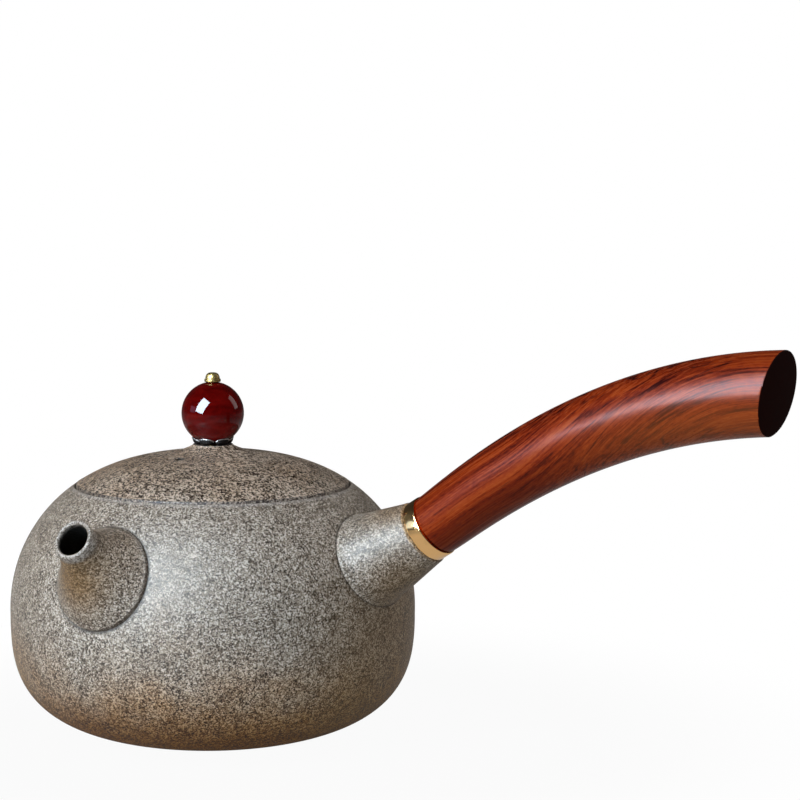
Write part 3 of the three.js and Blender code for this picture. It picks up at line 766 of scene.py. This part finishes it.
def handle_section(station, radius):
    inside_wood = min(max(station, 0), handle_length)
    index = next(i for i in range(1, handle_steps + 1) if reached[i] >= inside_wood - rounding)
    part = (inside_wood - reached[index - 1]) / (reached[index] - reached[index - 1])
    point = samples[index - 1].lerp(samples[index], part)
    along = (samples[min(index + 1, handle_steps)] - samples[max(index - 2, 0)]).normalized()
    if station <= 0:
        along = socket_axis
    centre = point + along * (station - inside_wood)
    return section(centre.x, centre.z, atan2(along.z, along.x), radius)


def handle_radius(station):
    left = 1 - min(max(station / handle_length, 0), 1)
    return handle_start + (handle_end - handle_start) * (1 - left ** handle_swell)


# %% Sweep the handle and keep its grain
tenon_radius, tenon_length, seat_wood, wood_soft = 4.7 * mm, 11.5 * mm, 6.2 * mm, 0.4 * mm
seat_start = joint_gap - (ring_width + 2 * joint_gap)
tenon_end = -(ring_width + 2 * joint_gap) - tenon_length
handle_rings = [(tenon_end, tenon_radius - wood_soft), (tenon_end + wood_soft, tenon_radius),
                (seat_start, tenon_radius), (seat_start, seat_wood), (0, seat_wood)]
handle_rings += [(wood_soft * (1 - cos(a)), handle_start - wood_soft * (1 - sin(a)))
                 for a in steps_between(0, pi / 2, 5)]
handle_rings += [(s, handle_radius(s)) for s in steps_between(wood_soft, handle_length, 110)][1:]
handle_rings += [(handle_length + spare, handle_end) for spare in (5 * mm, 9 * mm)]
handle_mesh = swept([handle_section(station, radius) for station, radius in handle_rings])
mark = handle_mesh.verts.layers.int["ring"]
grain = handle_mesh.verts.layers.float_vector.new("grain")
for corner in handle_mesh.verts:
    station, radius = handle_rings[corner[mark]]
    across = handle_section(station, 1).inverted() @ corner.co
    corner[grain] = (station, across.x, across.y)

# %% Saw off the tip and round its edge
saw_lean, saw_swing, tip_soft = radians(9), radians(-3.5), 0.35 * mm
saw_normal = (Matrix.Rotation(saw_swing, 4, "Z") @ Matrix.Rotation(saw_lean, 4, "Y")
              @ Vector((1, 0, 0, 0))).to_3d()
bmesh.ops.bisect_plane(handle_mesh, geom=[*handle_mesh.verts, *handle_mesh.edges, *handle_mesh.faces],
                       plane_co=tip, plane_no=saw_normal, clear_outer=True)
open_edges = [edge for edge in handle_mesh.edges if edge.is_boundary]
caps = bmesh.ops.holes_fill(handle_mesh, edges=open_edges, sides=0)["faces"]
end_face = max(caps, key=lambda face: face.calc_center_median().x)
end_face.material_index = 1
bmesh.ops.bevel(handle_mesh, geom=list(end_face.edges), offset=tip_soft, offset_type="OFFSET",
                segments=3, profile=0.5, affect="EDGES", material=-1)
print("the handle is swept through", len(handle_rings), "rings")

# %% [markdown]
# ### Rosewood
# Rosewood is red-orange with dark brown streaks that run along the grain, wander a little and split. Noise
# that is squeezed across the grain and stretched along it gives such streaks, here at three widths, with
# short flecks between them. The yearly layers lean a little against the handle, so the streaks run out at
# its top. The tip has a golden layer, and the underside near the ring gets a painted dark reflection.

# %% Lay out the grain
wood = Finish("handle_rosewood")
along_wood, down_wood, across_wood = (wood.axis(wood.kept("grain", "Vector"), name) for name in "XYZ")
lean = wood.between(along_wood, 25 * mm, 95 * mm, 0.0, 19 * mm)
layers = wood.add("ShaderNodeCombineXYZ", {}, {0: along_wood, 1: down_wood + lean, 2: across_wood})
bands = wood.noise(wood.moved(layers, scale=(9, 230, 90)), 1, 3, 0.55, 0.5)
streaks = wood.noise(wood.moved(layers, scale=(9, 1700, 800)), 1, 4, 0.65, 0.2)
veins = wood.noise(wood.moved(layers, location=(7, 3, 1), scale=(8, 300, 120)), 1, 2, 0.5, 0.4)
flecks = wood.noise(wood.moved(layers, scale=(750, 2600, 2600)), 1, 3, 0.6)
pores = wood.noise(wood.moved(layers, scale=(130, 3200, 3200)), 1, 2, 0.6)
lively = wood.between(along_wood, 12 * mm, 58 * mm, 0.35, 1.0)
off_vein = wood.add("ShaderNodeMath", {"operation": "ABSOLUTE"}, {0: veins - 0.5})
dark_vein = wood.between(off_vein, 0.035, 0.0)
figure = 0.53 + 0.62 * lively * (bands - 0.5) + 0.72 * (streaks - 0.5) - 0.17 * lively * dark_vein
figure = figure + 0.34 * (flecks - 0.5)
print("the grain takes", len(wood.tree.nodes), "nodes")

# %% [markdown]
# ### Colour and polish of the wood
# The wood is oiled and polished, so a very thin glossy coat lies over a satin surface. The sawn end shows
# end grain, which soaks up oil and is darker than the side grain; painted shade takes it almost to black,
# as the end turns away from the light. It needs a material of its own, because the grain attribute runs
# straight into it there.

# %% Mix the rosewood
wood_tone = wood.ramp(figure, (0.28, (0.030, 0.003, 0.002)), (0.38, (0.088, 0.009, 0.003)),
                      (0.47, (0.195, 0.020, 0.004)), (0.58, (0.285, 0.038, 0.006)),
                      (0.76, (0.400, 0.078, 0.015)))
golden = wood.between(down_wood, -5 * mm, 6 * mm) * wood.between(along_wood, 30 * mm, 75 * mm)
wood_tone = wood.mixed(0.32 * golden, wood_tone, colour(0.350, 0.105, 0.028))
# Painted dark reflection: a dark band on the underside near the ring
painted_dark_band = wood.between(down_wood + 1.5 * mm * (streaks - 0.5), 1 * mm, 5 * mm)
near_ring = wood.between(along_wood, 62 * mm, 22 * mm)
wood_tone = wood.mixed(0.48 * (painted_dark_band * near_ring), wood_tone, colour(0.040, 0.005, 0.003))
open_pores = wood.between(pores, 0.40, 0.30)
wood_tone = wood.mixed(0.5 * open_pores, wood_tone, colour(0.05, 0.010, 0.005))
wood.shade(Base_Color=wood_tone, Roughness=0.17 + 0.20 * streaks, Specular_IOR_Level=0.056,
           Coat_Weight=0.016, Coat_Roughness=0.12,
           Normal=wood.bump(0.5 * streaks - 0.3 * open_pores, 0.10, 0.12 * mm))
print("the whole rosewood takes", len(wood.tree.nodes), "nodes")

# %% Mix the end grain and finish the handle
end_grain = Finish("handle_end_grain")
end_place = end_grain.moved(end_grain.place(), scale=(1, 1, 1.6))
end_rings = end_grain.noise(end_place, 420, 4, 0.6, 0.8)
# End grain darker than the wood, made near black by painted shade
shaded_end_tone = end_grain.mixed(end_rings, colour(0.006, 0.0008, 0.0005), colour(0.018, 0.003, 0.002))
end_grain.shade(Base_Color=shaded_end_tone, Roughness=0.6 + 0.3 * end_rings, Specular_IOR_Level=0.02,
                Normal=end_grain.bump(end_rings, 0.15, 0.1 * mm))
finished("rosewood_handle", handle_mesh, [wood.material, end_grain.material], "rosewood", "pot",
         "wood_handle", crease=40)

# %% [markdown]
# ### Glue in the socket
# The tenon stands in a cup of set glue, which nothing shows. The CAD solid stays as it is and only gets a
# finish, a cloudy amber. Such plain two-toned stuff comes back in the soft washer, so it is a function.

# %% Finish the glue
def cloudy(name, scale, detail, first, second, roughness, spread):
    stuff = Finish(name)
    cloud = stuff.noise(stuff.place(), scale, detail)
    stuff.shade(Base_Color=stuff.mixed(cloud, first, second), Roughness=roughness + spread * cloud)
    return stuff.material


glue = cloudy("set_glue", 300, 3, colour(0.55, 0.42, 0.22), colour(0.70, 0.60, 0.40), 0.35, 0.3)
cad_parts["socket_adhesive"].data.materials.clear()
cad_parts["socket_adhesive"].data.materials.append(glue)
print("the glue is finished as", glue.name)

# %% [markdown]
# ## The lid
# The lid carries on the vessel's dome, so it uses the same outline. A low boss rises out of it in a soft
# flare for the knob, with a shallow dish on top. A deep ring underneath keeps the lid from falling out
# when the pot is tipped. A small hole lets air in, or the tea would not pour.

# %% Sizes of the lid
crown_top = belly_height + crown_rise
boss_foot, boss_flare, boss_radius, boss_top = 13.5 * mm, 8.1 * mm, 5.2 * mm, crown_top + 2 * mm
boss_soft, under_soft, flange_soft = 0.25 * mm, 0.2 * mm, 0.5 * mm
bead_radius, dish_radius = 8 * mm, 8.8 * mm
bead_centre = boss_top - 0.8 * mm + dish_radius
bolt_hole, pad_height, pad_radius, lid_thickness = 1.3 * mm, crown_top - 3.5 * mm, 7.5 * mm, 3.4 * mm
rest_height = ledge_height + seat_gap
flange_outer = mouth_radius - seat_gap
flange_inner, flange_bottom = flange_outer - 2.6 * mm, rest_height - 5.7 * mm
dish_edge = sqrt(dish_radius ** 2 - (bead_centre - boss_top) ** 2)
print("bead centre in mm:", round(bead_centre / mm, 2))


# %% Spin the lid
def bent(t, first, pull, last):
    return (1 - t) ** 2 * first + 2 * t * (1 - t) * pull + t * t * last


lid_outline = [
    (bolt_hole, pad_height),
    *[(r, min(crown_height(r, lid_thickness), pad_height))
      for r in steps_between(pad_radius, flange_inner, 24)],
    *corner_arc(flange_inner + flange_soft, flange_bottom + flange_soft, flange_soft, 180, 270),
    *corner_arc(flange_outer - flange_soft, flange_bottom + flange_soft, flange_soft, 270, 360),
    (flange_outer, rest_height),
    (lid_radius - under_soft, rest_height),
    (lid_radius, rest_height + under_soft),
    *corner_arc(lid_radius - soft_edge, crown_height(lid_radius - soft_edge) - soft_edge, soft_edge, 0, 70),
    *[crown_point(a)
      for a in steps_between(crown_angle(lid_radius - soft_edge), crown_angle(boss_foot), 40)],
    *[(bent(t, boss_foot, boss_flare, boss_radius),
       bent(t, crown_height(boss_foot), crown_top, boss_top - boss_soft))
      for t in steps_between(0, 1, 24)][1:],
    (boss_radius - 0.08 * mm, boss_top - 0.06 * mm),
    (boss_radius - boss_soft, boss_top),
    *[(r, bead_centre - sqrt(dish_radius ** 2 - r * r)) for r in steps_between(dish_edge, bolt_hole, 12)],
]
lid_mesh = spun(lid_outline, closed=True)
print("lid outline has", len(lid_outline), "points")

# %% Drill the air hole and finish the lid
air_turn, air_reach = Matrix.Rotation(radians(-96), 4, "Z"), 13.2 * mm
air_hole = bmesh.new()
drill(air_hole, 1.15 * mm, drill_depth, air_turn @ Matrix.Translation((air_reach, 0, crown_top)), 40)
# Painted shade under the petal cap and inside the air hole
painted_shade_under_cap = ((0, 0, boss_top), (0, 0, 0), (4.9 * mm, 4.9 * mm, 0.6 * mm))
painted_shade_in_air_hole = (air_turn @ Vector((air_reach, 0, 0)), (0, 0, 0), (1.2 * mm, 1.2 * mm, endless))
lid_clay = stoneware("lid_stoneware", warmth=0.29, soot=0.10, coarse=1.25, bite=1.8,
                     joints=[painted_shade_under_cap, painted_shade_in_air_hole])
finished("lid_dome", carved(lid_mesh, air_hole), [lid_clay], "stoneware", "lid", "lid")

# %% [markdown]
# ## The bead
# The knob is a drilled ball of deep red agate. Agate is not one flat red: it has faint cloudy bands, and
# the polish gives it a hard bright gloss. A glass shader would be slow and look too clear, so the red is
# opaque here, and the gloss comes from a very smooth surface under a thin clear coat.

# %% Spin the bead and mix the agate
opening = acos(bolt_hole / bead_radius)
bead_outline = [(bead_radius * cos(a), bead_centre + bead_radius * sin(a))
                for a in steps_between(-opening, opening, 72)]
bead_mesh = spun(bead_outline, closed=True, steps=144)
agate = Finish("bead_agate")
cloud_bands = agate.noise(agate.moved(agate.place(), scale=(1, 1, 2.2)), 150, 5, 0.6, 1.2)
agate_tone = agate.ramp(cloud_bands, (0.30, (0.055, 0.0004, 0.0004)), (0.52, (0.100, 0.0010, 0.0008)),
                        (0.75, (0.140, 0.0030, 0.0020)))
agate.shade(Base_Color=agate_tone, Roughness=0.04, Coat_Weight=0.05, Coat_Roughness=0.02,
            Specular_IOR_Level=0.19)
finished("agate_bead", bead_mesh, [agate.material], "bead_red", "lid", "knob_bead")

# %% [markdown]
# ## The cap under the bead
# The bead rests in a small six-petalled cup of darkened silver. Each petal swells in its middle and has a
# thin raised rim that rubbing has kept bright. One petal is made from a grid that is bent onto the bead,
# given thickness, and then copied round with spin. How near a corner lies to the petal's edge is kept as
# an attribute, because the dark and bright parts follow the shape of the leaf.

# %% Bend a grid into one petal
petal_count, petal_thickness, petal_turn = 6, 0.28 * mm, radians(38.7)
petal_root, petal_climb, petal_half = 10.5, 29.5, radians(29)
widest, puff_start, rim_width = 0.42, 0.35, 0.10
off_bead, rim_rise, puff_rise, off_boss = 0.22 * mm, 0.16 * mm, 0.85 * mm, 0.04 * mm
petals = bmesh.new()
edge_share = petals.verts.layers.float.new("rim")
leaf = bmesh.ops.create_grid(petals, x_segments=16, y_segments=20, size=1)["verts"]
for corner in leaf:
    side, along = corner.co.x, (corner.co.y + 1) / 2
    width = min(1.0, 1.12 * sqrt(max(1 - (max(along - widest, 0) / (1 - widest)) ** 2, 0)))
    climb = radians(petal_root + petal_climb * along)
    turn = side * petal_half * width
    from_edge = min(1 - abs(side), 2.2 * (1 - along))
    corner[edge_share] = 1 - min(from_edge / rim_width, 1)
    puff = sin(pi * max(along - puff_start, 0) / (1 - puff_start)) * max(1 - side ** 4, 0)
    shell = bead_radius + off_bead + rim_rise * corner[edge_share] * along + puff_rise * puff
    shell = min(shell, (bead_centre - boss_top - off_boss) / cos(climb) - petal_thickness)
    flat = shell * sin(climb)
    corner.co = (flat * cos(turn), flat * sin(turn), bead_centre - shell * cos(climb))
print("one petal has", len(petals.faces), "faces")

# %% Thicken the petal and copy it round
bmesh.ops.solidify(petals, geom=list(petals.faces), thickness=-petal_thickness)
petal_place = Matrix.Rotation(petal_turn, 3, "Z")
bmesh.ops.rotate(petals, verts=petals.verts, cent=(0, 0, 0), matrix=petal_place)
bmesh.ops.spin(petals, geom=[*petals.verts, *petals.edges, *petals.faces], cent=(0, 0, 0),
               axis=(0, 0, 1), angle=radians(360 * (petal_count - 1) / petal_count),
               steps=petal_count - 1, use_duplicate=True)

silver = Finish("cap_dark_silver")
wear = silver.noise(silver.place(), 700, 3, 0.6)
bright = silver.between(silver.kept("rim") + 0.35 * (wear - 0.5), 0.45, 0.9)
silver.shade(Base_Color=silver.mixed(bright, colour(0.022, 0.019, 0.018), colour(0.42, 0.39, 0.37)),
             Metallic=1.0, Roughness=0.46 - 0.16 * bright, Normal=silver.bump(wear, 0.12, 0.1 * mm))
finished("petal_cap", petals, [silver.material], "dark_silver", "lid", "knob_bead_cap", crease=50)

# %% [markdown]
# ## The bolt and what holds it under the lid
# A thin bolt runs down through bead, cap and lid. Its gold finial has a foot ring, a small step and a
# dome. Under the lid it goes through a soft washer, which spares the clay, a metal washer and a domed nut.
# All but the nut's six sides are turned shapes, so spin makes them.

# %% Spin the bolt
finial_foot = bead_centre + bead_radius
nut_top = pad_height - 1.9 * mm
bolt_bottom = nut_top - 2.6 * mm
shank, shank_end, foot_ring, foot_soft, step_soft = 1 * mm, 0.8 * mm, 1.9 * mm, 0.2 * mm, 0.15 * mm
dome_width, dome_foot, dome_rise = 1.86 * mm, finial_foot + 0.78 * mm, 1.62 * mm
bolt_outline = [
    (0, bolt_bottom), (shank_end, bolt_bottom), (shank, bolt_bottom + shank - shank_end),
    (shank, finial_foot), (foot_ring, finial_foot),
    *corner_arc(foot_ring, finial_foot + foot_soft, foot_soft, -60, 0),
    *corner_arc(foot_ring + 0.05 * mm, finial_foot + 0.6 * mm, step_soft, 0, 80),
    *[(dome_width * cos(a) ** 0.6, dome_foot + dome_rise * sin(a))
      for a in steps_between(0, pi / 2, 16)][:-1],
    (0, dome_foot + dome_rise),
]
finished("finial_bolt", spun(bolt_outline, steps=64), [gold], "gold_plate", "lid", "knob_bolt")

# %% Spin the washers
silicone = cloudy("washer_silicone", 500, 2, colour(0.72, 0.70, 0.66), colour(0.84, 0.82, 0.78), 0.5, 0.15)
steel = polished("washer_steel", (0.62, 0.62, 0.63), (0.42, 0.42, 0.43), 0.25, 900)


def washer(name, radius, top, thickness, material, slot, node):
    soft, bottom = 0.12 * mm, top - thickness
    outline = [(bolt_hole, bottom), *corner_arc(radius - soft, bottom + soft, soft, -90, 0, 3),
               *corner_arc(radius - soft, top - soft, soft, 0, 90, 3), (bolt_hole, top)]
    finished(name, spun(outline, closed=True, steps=64), [material], slot, "lid", node)


washer("silicone_washer", 5.5 * mm, pad_height - 0.1 * mm, 1 * mm, silicone, "silicone", "knob_soft_washer")
washer("steel_washer", 4 * mm, pad_height - 1.2 * mm, 0.6 * mm, steel, "steel", "knob_metal_washer")

# %% Make the domed nut
nut_height, nut_side, nut_dome, nut_soft = 1.8 * mm, 2.25 * mm, 1.9 * mm, 0.15 * mm
nut_bottom, nut_middle = nut_top - nut_height, nut_top - nut_height / 2
nut = bmesh.new()
drill(nut, nut_side / cos(pi / 6), nut_height, Matrix.Translation((0, 0, nut_middle)), 6)
bmesh.ops.bevel(nut, geom=list(nut.edges), offset=nut_soft, offset_type="OFFSET", segments=2,
                profile=0.5, affect="EDGES", material=-1)
dome_cap = [(0, nut_bottom - nut_dome), *corner_arc(0, nut_bottom, nut_dome, -90, 0, 14)[1:],
            (nut_dome, nut_middle), (0, nut_middle)]
bmesh.ops.spin(nut, geom=chain(nut, dome_cap), cent=(0, 0, 0), axis=(0, 0, 1), angle=2 * pi, steps=48,
               use_merge=True)
finished("domed_nut", nut, [gold], "gold_plate", "lid", "knob_nut")

# %% [markdown]
# ## Floor and background
# The photograph has a plain white ground. A lamp strong enough to make a white floor blank would burn the
# pot out as well. So the paper is only a middle grey, which keeps a soft shadow under the pot, and what
# the camera sees of it is mostly a plain white glow. The pot's gloss sees some of that glow near the foot
# and hardly any further out, or brass and bead would turn white.

# %% A flat sheet for the floor, and later for the cards
def flat_sheet(name, width, height, finish):
    sheet_mesh = bmesh.new()
    bmesh.ops.create_grid(sheet_mesh, x_segments=1, y_segments=1, size=0.5)
    bmesh.ops.scale(sheet_mesh, vec=(width, height, 1), verts=sheet_mesh.verts)
    sheet_data = bpy.data.meshes.new(name)
    sheet_mesh.to_mesh(sheet_data)
    sheet_mesh.free()
    sheet_data.materials.append(finish.material)
    sheet = bpy.data.objects.new(name, sheet_data)
    bpy.context.scene.collection.objects.link(sheet)
    return sheet


# %% Light that depends on who looks
def ray(finish, kind):
    return finish.add("ShaderNodeLightPath", output="Is " + kind + " Ray")


def glow(finish, kind, tint, strength):
    return finish.add("ShaderNode" + kind, {}, {"Color": tint, "Strength": strength})


def blend(finish, share, first, second):
    return finish.add("ShaderNodeMixShader", {}, {0: share, 1: first, 2: second})


# %% Lay the floor
paper = Finish("white_paper")
matte = paper.add("ShaderNodeBsdfDiffuse", {}, {"Color": colour(0.30, 0.30, 0.30)})
from_pot = paper.distance(paper.place(), (20 * mm, 0, 0))
seen_share = paper.between(from_pot, 70 * mm, 170 * mm, 0.95, 1.0)
mirrored_share = paper.between(from_pot, 130 * mm, 380 * mm, 0.40, 0.04)
glowing = (seen_share * (ray(paper, "Camera") + ray(paper, "Transmission"))
           + mirrored_share * ray(paper, "Glossy"))
paper.show(blend(paper, glowing, matte, glow(paper, "Emission", colour(1, 1, 1), 1.0)))
studio_floor = flat_sheet("studio_floor", 12, 12, paper)
studio_floor.location.z = -0.02 * mm
print("the floor lies", round(-studio_floor.location.z / mm, 2), "mm under the foot")

# %% [markdown]
# ## The sky
# Metal and polished stone need something dark to mirror, while the camera has to see plain white. So the
# sky is three skies in one: white for the camera, dark for what the pot mirrors, and a faint even light
# that fills the shadows.

# %% Set the sky
world = bpy.data.worlds.new("studio")
world.use_nodes = True
bpy.context.scene.world = world
world.node_tree.nodes.clear()
sky = Finish("studio", world.node_tree)
sky_height = sky.axis(sky.add("ShaderNodeTexCoord", output="Generated"), "Z")
ceiling = sky.ramp(0.5 * sky_height + 0.5, (0.50, (0.06, 0.06, 0.06)), (0.60, (0.04, 0.04, 0.04)),
                   (0.70, (0.03, 0.03, 0.03)), (1.00, (0.02, 0.02, 0.02)))
room_light = glow(sky, "Background", colour(1.0, 0.98, 0.95), 0.17)
white_ground = glow(sky, "Background", colour(1, 1, 1), 1.0)
for_mirrors = blend(sky, ray(sky, "Glossy"), room_light, glow(sky, "Background", ceiling, 1.0))
whole_sky = blend(sky, ray(sky, "Camera") + ray(sky, "Transmission"), for_mirrors, white_ground)
sky_output = world.node_tree.nodes.new("ShaderNodeOutputWorld")
sky.feed(sky_output.inputs["Surface"], whole_sky)
print("the sky has", len(world.node_tree.nodes), "nodes")

# %% [markdown]
# ## Lamps
# One large window of soft light stands high in front of the spout. A small cool lamp lies low in front of
# the socket and lifts the side that turns away. A strip behind the handle lights nothing: it is only
# there to draw a thin highlight, so its diffuse light is off. Two weak lamps, on the left and behind, keep
# the pot's other sides readable when it is turned. All of them aim at the middle of the pot, and each one
# is given by a turn round it and a rise above it, which is easier to adjust than three coordinates.

# %% Place the lamps
light_target = Vector((10 * mm, 0, 45 * mm))


def away_from_target(turn, rise):
    return Vector((cos(radians(rise)) * cos(radians(turn)), cos(radians(rise)) * sin(radians(turn)),
                   sin(radians(rise))))


def soft_lamp(name, turn, rise, distance, width, height, power, tint):
    lamp_data = bpy.data.lights.new(name, "AREA")
    lamp_data.shape = "RECTANGLE"
    lamp_data.size, lamp_data.size_y = width, height
    lamp_data.energy = power
    lamp_data.color = tint
    lamp = bpy.data.objects.new(name, lamp_data)
    away = away_from_target(turn, rise)
    lamp.location = light_target + away * distance
    lamp.rotation_euler = away.to_track_quat("Z", "Y").to_euler()
    lamp.visible_glossy = False
    bpy.context.scene.collection.objects.link(lamp)
    print(name, "gives", power, "W")
    return lamp


# After the name: turn and rise in degrees, distance, width and height in metres, power in watts, tint.
soft_lamp("window_light", -102, 28, 1.0, 0.57, 0.90, 6.6, (1.0, 0.985, 0.96))
soft_lamp("front_light", -64, 3, 1.0, 0.36, 0.36, 6.6, (0.60, 0.79, 1.0))
strip_light = soft_lamp("strip_light", 44, 28, 1.0, 0.34, 0.62, 1.8, (1.0, 0.98, 0.97))
soft_lamp("left_light", -145, 8, 1.2, 0.8, 0.5, 2.1, (1.0, 0.97, 0.93))
soft_lamp("back_light", 62, 32, 1.1, 0.8, 0.8, 3.2, (1.0, 0.98, 0.96))
strip_light.visible_glossy, strip_light.visible_diffuse = True, False

# %% [markdown]
# ## Bright cards
# What a lamp puts on rough clay and what it puts into a mirror are two things in a photograph: the shine
# on the clay and the white window in the bead are stronger and cooler than the lamp's plain light. So the
# lamps stay out of the reflections, and glowing cards that only gloss can see hang in their place. The
# window card is rolled, as the window in the bead leans. The faint wide card lights the brass ring.

# %% Hang bright cards that only gloss sees
def bright_card(name, turn, rise, distance, width, height, roll, tint, strength):
    shine = Finish(name + "_light")
    shine.show(glow(shine, "Emission", tint, strength))
    card = flat_sheet(name, width, height, shine)
    away = away_from_target(turn, rise)
    card.location = light_target + away * distance
    facing = away.to_track_quat("Z", "Y") @ Matrix.Rotation(radians(roll), 3, "Z").to_quaternion()
    card.rotation_euler = facing.to_euler()
    for kind in ("camera", "diffuse", "transmission", "volume_scatter", "shadow"):
        setattr(card, "visible_" + kind, False)
    print(name, "hangs", distance, "m away")


# After the name: turn, rise, distance, width and height as above, roll in degrees, tint, strength.
bright_card("window_card", -102, 30, 1.0, 0.57, 0.92, -18, colour(0.65, 0.83, 1.0), 70.0)
bright_card("ring_card", -138, 13, 1.2, 0.50, 0.35, 0, colour(0.42, 0.60, 0.96), 1.9)

bpy.context.scene.view_settings.view_transform = "Standard"
